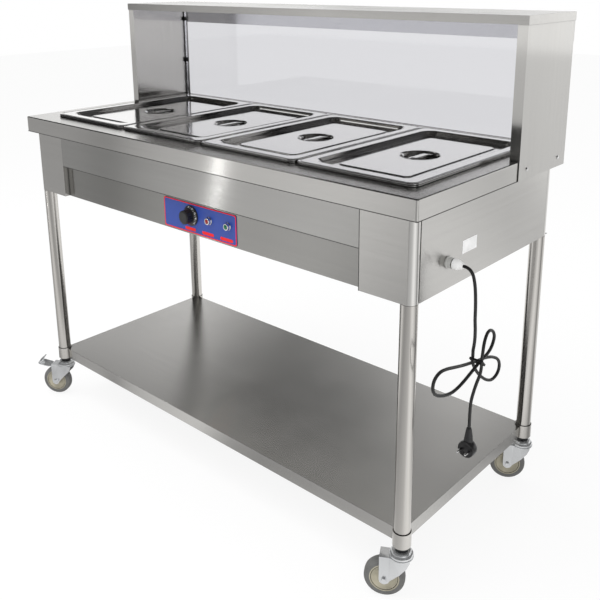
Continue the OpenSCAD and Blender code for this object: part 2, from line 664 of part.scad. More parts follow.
// Pans: tapered drawn shells that hang by their flanges
module pan(i) color(bright) translate([pan_x(i), 0, 0]) difference() {
    union() {
        difference() {
            translate([0, 0, worktop_h]) slab(pan_w, pan_l, pan_edge, 20);
            translate([0, 0, worktop_h - 1])
                slab(pan_w - 2 * pan_t, pan_l - 2 * pan_t, pan_edge + 1 - pan_t, 20 - pan_t);
        }
        translate([0, 0, rim_z - pan_depth]) taper(wall_w - 2 * pan_draft, wall_l - 2 * pan_draft,
            pan_r - pan_draft, wall_w, wall_l, pan_r, pan_depth);
    }
    translate([0, 0, rim_z - pan_depth + pan_t]) taper(wall_w - 2 * pan_draft - 2 * pan_t,
        wall_l - 2 * pan_draft - 2 * pan_t, pan_r - pan_draft - pan_t,
        wall_w - 2 * pan_t, wall_l - 2 * pan_t, pan_r - pan_t, pan_depth);
}
module pan_1() pan(1);
module pan_2() pan(2);
module pan_3() pan(3);
module pan_4() pan(4);

// Lids: a flat rim with a turned-down edge, a sunk floor, a raised field and a
// round hand recess bridged by a strap
module lid(i) color(bright) translate([pan_x(i), 0, lid_z]) {
    top_w = pan_w - 2 * lid_rim;
    top_l = pan_l - 2 * lid_rim;
    low_w = top_w - 2 * lid_slope;
    low_l = top_l - 2 * lid_slope;
    floor_z = -lid_sink;
    field_z = floor_z + field_h;
    field_w = low_w - 2 * field_side;
    field_l = low_l - 2 * field_end;
    r = recess_d / 2;
    difference() {
        union() {
            difference() {
                translate([0, 0, -lid_edge]) slab(pan_w, pan_l, lid_edge, 20);
                translate([0, 0, -lid_edge - 1])
                    slab(pan_w - 2 * pan_t, pan_l - 2 * pan_t, lid_edge + 1 - pan_t, 20 - pan_t);
            }
            translate([0, 0, floor_z - pan_t])
                taper(low_w, low_l, 26, top_w + pan_t, top_l + pan_t, 32, lid_sink + pan_t);
        }
        translate([0, 0, floor_z]) taper(low_w - 2 * pan_t, low_l - 2 * pan_t, 26 - pan_t,
            top_w, top_l, 31, lid_sink + 0.01);
        translate([0, 0, floor_z - pan_t - 1]) slab(field_w, field_l, pan_t + 2, 14);
    }
    // raised field, with the round recess drawn down from it
    difference() {
        translate([0, 0, floor_z - pan_t]) slab(field_w, field_l, field_h + pan_t, 14);
        translate([0, 0, floor_z - pan_t - 1])
            slab(field_w - 2 * pan_t, field_l - 2 * pan_t, field_h + 1, 14 - pan_t);
        translate([0, 0, floor_z - pan_t - 1]) cylinder(r = r, h = field_h + pan_t + 2);
    }
    translate([0, 0, field_z]) rotate_extrude() polygon([[0, -recess_deep], [r - 14, -recess_deep],
        [r - 7, -recess_deep + 3], [r - 2, -6], [r + 0.5, 0.8], [r + 3, 0.8], [r + 3, 0], [r + 1.5, -0.01],
        [r, -pan_t], [r - 1, -6 - pan_t],
        [r - 6, -recess_deep + 1], [r - 13, -recess_deep - pan_t], [0, -recess_deep - pan_t]]);
    // strap handle
    translate([strap_w / 2, 0, field_z]) rotate([0, -90, 0]) linear_extrude(height = strap_w)
        polygon([[-5, -r + 0.8], [-1.5, -r + 12], [-0.5, -r + 24], [-0.5, r - 24], [-1.5, r - 12], [-5, r - 0.8],
            [-5 - strap_t, r - 1.6], [-1.5 - strap_t, r - 12.6], [-0.5 - strap_t, r - 24], [-0.5 - strap_t, -r + 24],
            [-1.5 - strap_t, -r + 12.6], [-5 - strap_t, -r + 1.6]]);
}
module lid_1() lid(1);
module lid_2() lid(2);
module lid_3() lid(3);
module lid_4() lid(4);

// Cable gland on the right side panel
module at_gland() translate([body_x, gland_y, gland_z]) children();
module cable_gland() color([0.9, 0.9, 0.88]) at_gland() {
    difference() {
        union() {
            along_x(13, 4, $fn = 6);
            translate([4, 0, 0]) along_x(9.5, 12);
            translate([16, 0, 0]) along_x(10.5, 1.6);
            translate([17.6, 0, 0]) along_x(12, 12);
            translate([29.6, 0, 0]) rotate([0, 90, 0]) cylinder(r1 = 12, r2 = 8, h = gland_out - 29.6);
            translate([-sheet_t - 10, 0, 0]) along_x(7.8, sheet_t + 10);
            translate([-sheet_t - 5, 0, 0]) along_x(11.5, 5, $fn = 6);
        }
        translate([gland_out - gland_grip, 0, 0]) along_x(cord_d / 2 + joint_fit, gland_grip + 1);
    }
}

// Cord: tubes swept along their routes
function unit(v) = v / norm(v);
function heading(p, i) = i == 0 ? unit(p[1] - p[0])
    : i == len(p) - 1 ? unit(p[i] - p[i - 1])
    : unit(unit(p[i] - p[i - 1]) + unit(p[i + 1] - p[i]));
module sweep_tube(p, r, n) {
    // frames turn along the route with the least twist
    function turn(i, s) = let (h = heading(p, i), q = unit(s - (s * h) * h))
        i == len(p) - 1 ? [q] : concat([q], turn(i + 1, q));
    h0 = heading(p, 0);
    start = abs(h0[0]) > 0.9 ? [0, 1, 0] : [1, 0, 0];
    side = turn(0, start);
    pts = [for (i = [0:len(p) - 1]) let (h = heading(p, i), u = side[i], v = cross(h, u))
        for (k = [0:n - 1]) p[i] + r * (cos(360 * k / n) * u + sin(360 * k / n) * v)];
    m = len(p);
    walls = [for (i = [0:m - 2], k = [0:n - 1]) each [
        [i * n + k, (i + 1) * n + k, (i + 1) * n + (k + 1) % n],
        [i * n + k, (i + 1) * n + (k + 1) % n, i * n + (k + 1) % n]]];
    caps = [for (k = [1:n - 2]) each [[0, k, k + 1], [(m - 1) * n, (m - 1) * n + k + 1, (m - 1) * n + k]]];
    polyhedron(points = pts, faces = concat(walls, caps), convexity = 10);
}
// A smooth curve through the points of a route, with its ends kept straight
function curve_at(p, i, t) = let (a = p[max(i - 1, 0)], b = p[i], c = p[i + 1], d = p[min(i + 2, len(p) - 1)])
    0.5 * (2 * b + (c - a) * t + (2 * a - 5 * b + 4 * c - d) * t * t + (3 * b - a - 3 * c + d) * t * t * t);
function smooth(p, n) = concat([for (i = [0:len(p) - 2], k = [0:n - 1])
    i == 0 || i == len(p) - 2 ? p[i] + (p[i + 1] - p[i]) * k / n : curve_at(p, i, k / n)], [p[len(p) - 1]]);
function run(p) = [for (i = 0, s = 0; i < len(p); i = i + 1,
    s = i < len(p) ? s + norm(p[i] - p[i - 1]) : s) s];
function self_gap(p) = let (s = run(p))
    min([for (i = [0:len(p) - 2], j = [i + 1:len(p) - 1]) if (s[j] - s[i] > 4 * cord_d) norm(p[i] - p[j])])
        - cord_d;
function gap_to(p, q, skip) = min([for (a = p, b = q) if (norm(a - skip) > 3 * cord_d) norm(a - b)]) - cord_d;
loop_points = smooth(loop_route, loop_steps);
fine_drop = smooth(drop_route, 8);
fine_loops = smooth(loop_route, 8);
fine_tail = smooth(tail_route, 8);
function last(p) = p[len(p) - 1];
echo(least_gap_of_loops = self_gap(fine_loops));
echo(gap_drop = gap_to(fine_drop, fine_loops, last(drop_route)));
echo(gap_tail = gap_to(fine_tail, fine_loops, tail_route[0]));
echo(cord_length = last(run(fine_drop)) + last(run(fine_loops)) + last(run(fine_tail)));
module cord_drop() color(black) at_gland() sweep_tube(drop_route, cord_d / 2, cord_n);
module cord_loops() color(black) at_gland() sweep_tube(loop_points, cord_d / 2, loop_n);
module cord_tail() color(black) at_gland() sweep_tube(tail_route, cord_d / 2, cord_n);

// Tie: a flat band round the four strands where they cross
module cord_tie() color([0.12, 0.12, 0.12]) at_gland() {
    x0 = last(drop_route)[0];
    x1 = tail_route[0][0];
    l = x1 - x0 + cord_d + 2 * tie_fit;
    translate([(x0 + x1) / 2, tie_y, tie_z]) rotate([-45, 0, 0]) linear_extrude(height = tie_w, center = true)
        difference() {
            square_c(l + 2 * tie_t, tie_in + 2 * tie_t, 4);
            square_c(l, tie_in, 3);
        }
}

// Angled mains plug: its pins point to the front
module plug() color(black) at_gland() {
    translate([plug_x, plug_y, plug_z]) {
        difference() {
            union() {
                translate([0, -head_l / 2, 0]) along_y(head_r, head_l);
                translate([0, 0, 10]) cylinder(r1 = 11, r2 = 6, h = plug_top - plug_z - 10);
            }
            for (s = [-1, 1]) translate([-3, -head_l / 2 - 1, s * (head_r - 1) - 2]) cube([6, head_l - 6, 4]);
        }
    }
    for (s = [-1, 1]) translate([plug_x + s * pin_gap / 2, plug_y - head_l / 2 - pin_l, plug_z])
        along_y(pin_d / 2, pin_l);
}

// Casters
module at_caster(sx, sy) translate([sx * leg_x, sy * leg_y, 0]) rotate([0, 0, 180 + trail_angle]) children();
module caster_stems() color([0.12, 0.12, 0.13]) at_corners(leg_x, leg_y) {
    translate([0, 0, crown_z - race_gap - 3]) cylinder(r = 9, h = 3);
    translate([0, 0, crown_z - race_gap - 3]) cylinder(d = stem_d, h = collar_z - crown_z + race_gap + 3);
    translate([0, 0, race_z + race_h + race_gap]) cylinder(r = 15, h = collar_z - race_z - race_h - race_gap);
    translate([0, 0, collar_z - 1.5]) cylinder(r = leg_r - 0.4, h = 1.5);
    translate([0, 0, collar_z]) cylinder(r = leg_r - leg_wall - joint_fit, h = 28);
}
// A fork's plates: straight legs at the axle, and wings that flare out round the race
module fork_side() difference() {
    union() {
        polygon([[head_x, crown_z + 1], [head_x, crown_z - 6], [head_x + 7, crown_z - 20], [4, wheel_r + 20],
            [bend_x, wheel_r - 4], [trail, wheel_r - 11], [tail_x - 2, wheel_r - 7], [tail_x, wheel_r],
            [tail_x, crown_z + 1]]);
        translate([trail, wheel_r]) circle(12);
    }
    translate([trail, wheel_r]) circle(axle_d / 2);
}
module fork_plan(out) polygon([[tail_x, -fork_half + out], [bend_x, -fork_half + out],
    [flare_x, -flare_y + out], [head_x, -fork_half + out], [head_x, fork_half - out], [flare_x, flare_y - out],
    [bend_x, fork_half - out], [tail_x, fork_half - out]]);
module fork_plates() intersection() {
    translate([0, 40, 0]) rotate([90, 0, 0]) linear_extrude(height = 80) fork_side();
    linear_extrude(height = crown_z) difference() {
        fork_plan(0);
        fork_plan(fork_t);
        // both ends stay open
        for (x = [head_x - 1, tail_x - 1]) translate([x, fork_t - fork_half]) square([2, 2 * (fork_half - fork_t)]);
    }
}
module fork(braked) {
    half = fork_half;
    fork_plates();
    difference() {
        union() {
            translate([0, 0, crown_z]) cylinder(r = crown_r, h = fork_t);
            translate([0, 0, crown_z]) linear_extrude(height = fork_t) fork_plan(0);
            translate([0, 0, race_z]) rotate_extrude() polygon([[0, 0], [race_r, 0], [race_r + 1.5, 2],
                [race_r + 1.5, 6], [race_r, 8], [race_r - 3, 8.5], [race_r - 2.5, 11], [race_r - 5, race_h],
                [0, race_h]]);
        }
        translate([0, 0, crown_z - 1]) cylinder(r = stem_d / 2 + run_fit, h = race_h + fork_t + 2);
    }
    translate([trail, -half - 5, wheel_r]) {
        along_y(axle_d / 2, 2 * half + 10);
        along_y(6.5, 5, $fn = 6);
        translate([0, 2 * half + 5, 0]) along_y(6.5, 5, $fn = 6);
    }
    if (braked) translate([pedal_x, -half - 1, pedal_z]) along_y(pedal_d / 2, 2 * half + 2);
}
module hub() translate([trail, 0, wheel_r]) rotate([90, 0, 0]) difference() {
    rotate_extrude() polygon([[0, -13.5], [9, -13.5], [10, -10], [14, -9], [hub_d / 2 - 5, -10],
        [hub_d / 2 - 3, -11.5], [hub_d / 2, -11.5], [hub_d / 2, 11.5], [hub_d / 2 - 3, 11.5],
        [hub_d / 2 - 5, 10], [14, 9], [10, 10], [9, 13.5], [0, 13.5]]);
    translate([0, 0, -20]) cylinder(r = axle_d / 2 + run_fit, h = 40);
}
module tyre() translate([trail, 0, wheel_r]) rotate([90, 0, 0]) rotate_extrude($fn = 72)
    polygon([[hub_d / 2, -11.5], [hub_d / 2 + 2, -wheel_w / 2], [wheel_r - 5, -wheel_w / 2],
        [wheel_r - 2, -wheel_w / 2 + 1.5],
        [wheel_r - 0.5, -wheel_w / 2 + 4], [wheel_r, -wheel_w / 2 + 8], [wheel_r, wheel_w / 2 - 8],
        [wheel_r - 0.5, wheel_w / 2 - 4], [wheel_r - 2, wheel_w / 2 - 1.5], [wheel_r - 5, wheel_w / 2],
        [hub_d / 2 + 2, wheel_w / 2], [hub_d / 2, 11.5]]);
// Brake pedal: a tongue that leaves the fork over the tyre, with its end folded up
module brake_pedal() difference() {
    union() {
        intersection() {
            translate([0, 20, 0]) rotate([90, 0, 0]) linear_extrude(height = 40) pedal_profile();
            translate([0, 0, crown_z - 20]) linear_extrude(height = 50)
                polygon([[0, -13], [tail_x + 3, -13], [tail_x + 11, -18], [110, -18], [110, 18],
                    [tail_x + 11, 18], [tail_x + 3, 13], [0, 13]]);
        }
        translate([pedal_x, -12, pedal_z]) along_y(pedal_d / 2 + 1.6, 24);
    }
    translate([pedal_x, -20, pedal_z]) along_y(pedal_d / 2 + run_fit, 40);
}
module pedal_profile() polygon([[pedal_x, pedal_z - 2], [tail_x + 2, pedal_z - 1.5], [90, pedal_z + 5],
    [94, pedal_z + 8], [94, pedal_z + 11], [84, pedal_z + 25], [82, pedal_z + 24], [91, pedal_z + 11],
    [90, pedal_z + 8], [88, pedal_z + 5 + pedal_t], [tail_x + 2, pedal_z - 1.5 + pedal_t],
    [pedal_x, pedal_z - 2 + pedal_t]]);
module fork_front_left() color(zinc) at_caster(-1, -1) fork(true);
module fork_front_right() color(zinc) at_caster(1, -1) fork(false);
module fork_rear_left() color(zinc) at_caster(-1, 1) fork(true);
module fork_rear_right() color(zinc) at_caster(1, 1) fork(false);
module hub_front_left() color([0.78, 0.75, 0.62]) at_caster(-1, -1) hub();
module hub_front_right() color([0.78, 0.75, 0.62]) at_caster(1, -1) hub();
module hub_rear_left() color([0.78, 0.75, 0.62]) at_caster(-1, 1) hub();
module hub_rear_right() color([0.78, 0.75, 0.62]) at_caster(1, 1) hub();
module tyre_front_left() color([0.4, 0.4, 0.39]) at_caster(-1, -1) tyre();
module tyre_front_right() color([0.4, 0.4, 0.39]) at_caster(1, -1) tyre();
module tyre_rear_left() color([0.4, 0.4, 0.39]) at_caster(-1, 1) tyre();
module tyre_rear_right() color([0.4, 0.4, 0.39]) at_caster(1, 1) tyre();
module brake_pedal_front_left() color(zinc) at_caster(-1, -1) brake_pedal();
module brake_pedal_rear_left() color(zinc) at_caster(-1, 1) brake_pedal();

worktop();
pan_support_bars();
water_tank();
tank_walls();
heating_elements();
element_bushes();
element_cover();
thermostat();
drain_valve();
drain_lever();
front_strip();
front_corner_plates();
lower_front_panel();
side_panels();
rear_panel();
bottom_cover();
corner_posts();
legs();
shelf_collars();
lower_shelf();
shelf_stiffeners();
hutch_sides();
hutch_top();
hutch_glass();
glass_clips();
hutch_screws();
control_plate();
thermostat_knob();
lamp_bezels();
red_lens();
green_lens();
pan_1();
pan_2();
pan_3();
pan_4();
lid_1();
lid_2();
lid_3();
lid_4();
cable_gland();
cord_drop();
cord_loops();
cord_tie();
cord_tail();
plug();
caster_stems();
fork_front_left();
fork_front_right();
fork_rear_left();
fork_rear_right();
hub_front_left();
hub_front_right();
hub_rear_left();
hub_rear_right();
tyre_front_left();
tyre_front_right();
tyre_rear_left();
tyre_rear_right();
brake_pedal_front_left();
brake_pedal_rear_left();
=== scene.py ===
import json
import math

import bmesh
import bpy
from mathutils import Matrix, Vector

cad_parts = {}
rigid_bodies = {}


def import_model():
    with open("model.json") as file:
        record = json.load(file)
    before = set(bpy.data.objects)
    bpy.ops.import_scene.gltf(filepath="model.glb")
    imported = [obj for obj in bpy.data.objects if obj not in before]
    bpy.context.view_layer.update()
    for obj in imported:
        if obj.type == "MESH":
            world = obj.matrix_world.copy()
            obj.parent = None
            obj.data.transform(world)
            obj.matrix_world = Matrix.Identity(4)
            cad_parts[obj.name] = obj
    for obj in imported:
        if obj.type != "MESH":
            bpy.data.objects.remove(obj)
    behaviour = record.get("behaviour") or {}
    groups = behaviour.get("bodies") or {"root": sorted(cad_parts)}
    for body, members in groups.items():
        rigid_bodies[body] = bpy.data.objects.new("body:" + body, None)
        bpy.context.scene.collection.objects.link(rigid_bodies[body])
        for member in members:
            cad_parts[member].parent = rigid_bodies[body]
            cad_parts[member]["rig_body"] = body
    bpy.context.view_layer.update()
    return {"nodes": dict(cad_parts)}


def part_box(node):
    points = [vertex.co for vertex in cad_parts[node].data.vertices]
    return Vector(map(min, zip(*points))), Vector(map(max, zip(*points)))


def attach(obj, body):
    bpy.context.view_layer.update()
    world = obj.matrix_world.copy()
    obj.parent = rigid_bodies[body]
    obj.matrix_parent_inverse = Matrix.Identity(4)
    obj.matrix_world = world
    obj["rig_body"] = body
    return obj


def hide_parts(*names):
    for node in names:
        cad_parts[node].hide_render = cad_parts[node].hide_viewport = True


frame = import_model()
nodes = frame["nodes"]
scene = bpy.context.scene
scene.view_settings.view_transform = "Standard"


# camera

def makeCamera():
    look = {"place": (1.5081, -1.5355, 1.3568), "azimuth": 42.1, "tilt": -15.0, "roll": -0.4,
            "lens": 47.17, "sensor": 36, "shiftY": -0.19}
    azimuth, tilt, roll = (math.radians(look[k]) for k in ("azimuth", "tilt", "roll"))
    level = math.cos(tilt)
    forward = Vector((-math.sin(azimuth) * level, math.cos(azimuth) * level, math.sin(tilt)))
    right = Vector((math.cos(azimuth), math.sin(azimuth), 0))
    up = right.cross(forward)
    across = right * math.cos(roll) + up * math.sin(roll)
    up = up * math.cos(roll) - right * math.sin(roll)
    data = bpy.data.cameras.new("camera")
    data.lens, data.sensor_width, data.shift_y = look["lens"], look["sensor"], look["shiftY"]
    camera = bpy.data.objects.new("camera", data)
    camera.matrix_world = Matrix((across, up, -forward)).transposed().to_4x4()
    camera.location = look["place"]
    scene.collection.objects.link(camera)
    scene.camera = camera


makeCamera()
print("camera placed")


# material helpers

def newMaterial(name):
    material = bpy.data.materials.new(name)
    material.use_nodes = True
    tree = material.node_tree
    shader = tree.nodes["Principled BSDF"]
    return material, tree, shader


def addNode(tree, kind, **values):
    node = tree.nodes.new(kind)
    for key, value in values.items():
        if hasattr(node, key):
            setattr(node, key, value)
        else:
            node.inputs[key].default_value = value
    return node


def put(tree, value, socket):
    # a number is set on the socket, another node's output is linked to it
    if isinstance(value, (int, float)):
        socket.default_value = value
    else:
        tree.links.new(value, socket)


def maths(tree, operation, first, second):
    node = addNode(tree, "ShaderNodeMath", operation=operation)
    put(tree, first, node.inputs[0])
    put(tree, second, node.inputs[1])
    return node.outputs[0]


def mixed(tree, factor, first, second):
    node = addNode(tree, "ShaderNodeMix", data_type="FLOAT")
    for key, value in (("Factor", factor), ("A", first), ("B", second)):
        put(tree, value, node.inputs[key])
    return node.outputs["Result"]


def noiseAt(tree, scale, stretch=(1, 1, 1), detail=3.0):
    # noise in the object's own space, per metre, drawn out along an axis
    place = addNode(tree, "ShaderNodeTexCoord")
    mapping = addNode(tree, "ShaderNodeMapping")
    mapping.inputs["Scale"].default_value = stretch
    tree.links.new(place.outputs["Object"], mapping.inputs["Vector"])
    noise = addNode(tree, "ShaderNodeTexNoise", Scale=scale, Detail=detail)
    tree.links.new(mapping.outputs["Vector"], noise.inputs["Vector"])
    return noise.outputs["Fac"]


def between(tree, source, low, high, start=0.35, end=0.65):
    # maps start..end to low..high; unless told otherwise, from the values a noise takes
    spread = addNode(tree, "ShaderNodeMapRange")
    for key, value in (("From Min", start), ("From Max", end), ("To Min", low), ("To Max", high)):
        spread.inputs[key].default_value = value
    tree.links.new(source, spread.inputs["Value"])
    return spread.outputs["Result"]


def tinted(tree, factor, color, darker, lighter, lift=0.0):
    # a colour that runs from a darker to a lighter shade of itself
    mix = addNode(tree, "ShaderNodeMix", data_type="RGBA")
    mix.inputs["A"].default_value = (*(c * darker for c in color), 1)
    mix.inputs["B"].default_value = (*(min(1, c * lighter + lift) for c in color), 1)
    tree.links.new(factor, mix.inputs["Factor"])
    return mix.outputs["Result"]


def paintedCornerShade(tree, color):
    # painted shade: seams and inner corners hold less light than open sheet, so their colour is darkened
    corner = {"reach": 0.008, "darkest": 0.25, "shut": 0.3, "open": 0.9, "samples": 6}
    inner = addNode(tree, "ShaderNodeAmbientOcclusion", samples=corner["samples"])
    inner.inputs["Distance"].default_value = corner["reach"]
    mix = addNode(tree, "ShaderNodeMix", data_type="RGBA", blend_type="MULTIPLY")
    mix.inputs["Factor"].default_value = 1
    tree.links.new(color, mix.inputs["A"])
    shade = addNode(tree, "ShaderNodeCombineColor")
    level = between(tree, inner.outputs["AO"], corner["darkest"], 1.0, corner["shut"], corner["open"])
    for channel in ("Red", "Green", "Blue"):
        tree.links.new(level, shade.inputs[channel])
    tree.links.new(shade.outputs[0], mix.inputs["B"])
    return mix.outputs["Result"]


def bumped(tree, shader, height, depth):
    bump = addNode(tree, "ShaderNodeBump")
    bump.inputs["Distance"].default_value = depth
    bump.inputs["Strength"].default_value = 0.5
    tree.links.new(height, bump.inputs["Height"])
    tree.links.new(bump.outputs["Normal"], shader.inputs["Normal"])


# kinds of finish

def steelFinish(name, color, rough, grain, depth, streak, smear, brush, turn=0.25):
    # stainless sheet: fine lines along the grain, faint streaks and rubbed patches;
    # brush is how far highlights are drawn out, and a turn of 0.25 draws them across the grain
    steel = {"lines": 1500, "bands": 90, "patches": 4, "drawn": 0.02, "dark": 0.75, "light": 1.25,
             "rough": (0.93, 1.07), "rubbed": 0.015}
    material, tree, shader = newMaterial(name)
    # the grain's direction, tilted a little so that no face lies square to it
    tilted = {"x": (1, 0.02, 0.015), "y": (0.02, 1, 0.015), "z": (0.02, 0.015, 1)}[grain]
    along = addNode(tree, "ShaderNodeCombineXYZ")
    for axis, value in zip("XYZ", tilted):
        along.inputs[axis].default_value = value
    tree.links.new(along.outputs[0], shader.inputs["Tangent"])
    shader.inputs["Anisotropic"].default_value = brush
    shader.inputs["Anisotropic Rotation"].default_value = turn
    stretch = tuple(steel["drawn"] if axis == grain else 1 for axis in "xyz")
    lines = noiseAt(tree, steel["lines"], stretch, 2)
    bands = noiseAt(tree, steel["bands"], stretch, 3)
    patches = noiseAt(tree, steel["patches"], (1, 1, 1), 4)
    streaks = between(tree, bands, -streak, streak)
    rubs = between(tree, patches, -smear, smear)
    shade = maths(tree, "ADD", maths(tree, "ADD", streaks, rubs), 0.5)
    sheet = tinted(tree, shade, color, steel["dark"], steel["light"])
    # painted shade darkens the sheet's colour in its seams and inner corners
    tree.links.new(paintedCornerShade(tree, sheet), shader.inputs["Base Color"])
    low, high = steel["rough"]
    fine = between(tree, lines, rough * low, rough * high)
    broad = between(tree, patches, -steel["rubbed"], steel["rubbed"])
    tree.links.new(maths(tree, "ADD", fine, broad), shader.inputs["Roughness"])
    bumped(tree, shader, lines, depth)
    shader.inputs["Metallic"].default_value = 1
    return material


def metalFinish(name, color, rough, scale=220, mottle=0.1, depth=0.00002, metal=1.0):
    # plated or cast metal with a fine mottle
    material, tree, shader = newMaterial(name)
    grain = noiseAt(tree, scale, (1, 1, 1), 4)
    shade = tinted(tree, between(tree, grain, 0, 1), color, 1 - mottle, 1 + mottle)
    tree.links.new(shade, shader.inputs["Base Color"])
    tree.links.new(between(tree, grain, rough * 0.8, rough * 1.25), shader.inputs["Roughness"])
    bumped(tree, shader, grain, depth)
    shader.inputs["Metallic"].default_value = metal
    return material


def plasticFinish(name, color, rough, scale=900, mottle=0.08, depth=0.00003, coat=0.0):
    # moulded plastic, rubber or paint: a fine texture and slight wear
    plastic = {"wear": 35, "lift": 0.004, "coatRough": 0.1}
    material, tree, shader = newMaterial(name)
    texture = noiseAt(tree, scale, (1, 1, 1), 3)
    wear = noiseAt(tree, plastic["wear"], (1, 1, 1), 4)
    shade = tinted(tree, between(tree, wear, 0, 1), color, 1 - mottle, 1 + mottle, plastic["lift"])
    tree.links.new(shade, shader.inputs["Base Color"])
    worn = between(tree, wear, rough * 0.85, min(1, rough * 1.15))
    tree.links.new(worn, shader.inputs["Roughness"])
    bumped(tree, shader, texture, depth)
    shader.inputs["Coat Weight"].default_value = coat
    shader.inputs["Coat Roughness"].default_value = plastic["coatRough"]
    return material


def lensFinish(name, color):
    # tinted plastic that lets a little light through
    lens = {"swirl": 400, "light": 1.3, "rough": (0.08, 0.16), "coat": 0.6, "clear": 0.25}
    material, tree, shader = newMaterial(name)
    swirl = noiseAt(tree, lens["swirl"], (1, 1, 1), 2)
    shade = tinted(tree, between(tree, swirl, 0, 1), color, 1, lens["light"])
    tree.links.new(shade, shader.inputs["Base Color"])
    tree.links.new(between(tree, swirl, *lens["rough"]), shader.inputs["Roughness"])
    shader.inputs["Coat Weight"].default_value = lens["coat"]
    shader.inputs["Transmission Weight"].default_value = lens["clear"]
    return material


def glassFinish(name, color, rough):
    # clear glass, slightly hazy in places
    material, tree, shader = newMaterial(name)
    haze = noiseAt(tree, 6, (1, 1, 1), 3)
    tree.links.new(between(tree, haze, rough, rough * 3), shader.inputs["Roughness"])
    shader.inputs["Base Color"].default_value = (*color, 1)
    shader.inputs["Transmission Weight"].default_value = 1
    shader.inputs["IOR"].default_value = 1.45
    return material


# every finish: its kind, colour, roughness and the kind's further values;
# X, Y and Z name the way the grain runs
brushed = (0.000004, 0.03, 0.04, 1.0)
recipes = {
    "sheetX": (steelFinish, (0.58, 0.57, 0.55), 0.19, "x", *brushed),
    "sheetY": (steelFinish, (0.60, 0.59, 0.57), 0.19, "y", *brushed),
    "sheetZ": (steelFinish, (0.60, 0.59, 0.57), 0.19, "z", *brushed),
    # painted shade: the next two are sheetX's brushed steel in darker copies, for the front strip and for
    # the lower front panel and bottom cover
    "panelX": (steelFinish, (0.46, 0.455, 0.44), 0.19, "x", *brushed),
    "lowerX": (steelFinish, (0.37, 0.365, 0.35), 0.19, "x", *brushed),
    "tube": (steelFinish, (0.62, 0.60, 0.57), 0.17, "z", 0.000006, 0.05, 0.03, 0.85, 0.0),
    "drawn": (steelFinish, (0.64, 0.635, 0.625), 0.11, "y", 0.000003, 0.02, 0.03, 0.3),
    "polished": (steelFinish, (0.72, 0.71, 0.69), 0.12, "z", 0.000004, 0.02, 0.03, 0.6, 0.0),
    # painted light: a paler copy of the hutch's steel for its faces seen through the pane
    "pale": (metalFinish, (0.97, 0.97, 0.98), 0.22, 400, 0.02, 0.000004),
    "chrome": (metalFinish, (0.85, 0.85, 0.85), 0.07, 300, 0.03, 0.000005),
    "zinc": (metalFinish, (0.74, 0.75, 0.76), 0.2, 700, 0.03, 0.000004, 0.8),
    "element": (metalFinish, (0.20, 0.17, 0.15), 0.45),
    "brass": (metalFinish, (0.66, 0.50, 0.24), 0.3),
    "redLever": (plasticFinish, (0.55, 0.03, 0.02), 0.35, 900, 0.08, 0.00003, 0.4),
    "bluePlate": (plasticFinish, (0.022, 0.062, 0.34), 0.45, 600, 0.03, 0.000002, 0.1),
    "redPrint": (plasticFinish, (0.85, 0.006, 0.008), 0.6, 600, 0.05, 0.000005),
    "whitePrint": (plasticFinish, (0.75, 0.75, 0.73), 0.4, 600, 0.03, 0.000004),
    "black": (plasticFinish, (0.009, 0.009, 0.010), 0.38, 700, 0.2, 0.00002, 0.15),
    # painted shadow: the dark finish of the strips laid in the front's gaps
    "seam": (plasticFinish, (0.05, 0.048, 0.045), 0.7, 500, 0.1, 0.00001),
    "darkInsert": (plasticFinish, (0.008, 0.008, 0.009), 0.3),
    "white": (plasticFinish, (0.93, 0.93, 0.92), 0.4),
    "lightGrey": (plasticFinish, (0.55, 0.55, 0.53), 0.45),
    "greyCase": (plasticFinish, (0.5, 0.49, 0.45), 0.5),
    "beige": (plasticFinish, (0.40, 0.37, 0.28), 0.5, 500, 0.16, 0.00006),
    "sheath": (plasticFinish, (0.012, 0.012, 0.012), 0.42, 1200, 0.25, 0.00004),
    "tyre": (plasticFinish, (0.15, 0.15, 0.145), 0.62, 800, 0.12, 0.00008),
    "redLens": (lensFinish, (0.30, 0.010, 0.010)),
    "greenLens": (lensFinish, (0.010, 0.14, 0.06)),
    "glass": (glassFinish, (0.74, 0.74, 0.765), 0.02),
}
finishes = {name: make(name, *values) for name, (make, *values) in recipes.items()}
print("finishes mixed")


# shape helpers

def addPiece(name, mesh, body, finish, smooth=30):
    # smooth is the angle from which an edge stays sharp; 0 leaves all faces flat
    piece = bpy.data.objects.new(name, mesh)
    scene.collection.objects.link(piece)
    mesh.materials.clear()
    mesh.materials.append(finishes[finish])
    if smooth:
        mesh.shade_smooth()
        mesh.set_sharp_from_angle(angle=math.radians(smooth))
    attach(piece, body)
    return piece


def toMesh(build, name):
    mesh = bpy.data.meshes.new(name)
    build.to_mesh(mesh)
    build.free()
    return mesh


def roundLoop(middle, halfX, halfY, radius, z, steps=8):
    # one ring of a rounded rectangle, counter-clockwise from above
    ring = []
    for corner, (sx, sy) in enumerate(((1, 1), (-1, 1), (-1, -1), (1, -1))):
        cx = middle[0] + sx * (halfX - radius)
        cy = middle[1] + sy * (halfY - radius)
        for step in range(steps + 1):
            angle = math.radians(90 * corner + 90 * step / steps)
            ring.append(Vector((cx + radius * math.cos(angle), cy + radius * math.sin(angle), z)))
    return ring


def insetLoop(shape, inset, radius, z):
    # the ring of a rectangle (middle, half width, half depth) drawn in on all sides
    middle, halfX, halfY = shape
    return roundLoop(middle, halfX - inset, halfY - inset, radius, z)


def quarter(steps):
    # sines and cosines of a quarter turn, for rounded edges
    angles = [math.radians(90 * step / steps) for step in range(steps + 1)]
    return [(math.sin(angle), math.cos(angle)) for angle in angles]


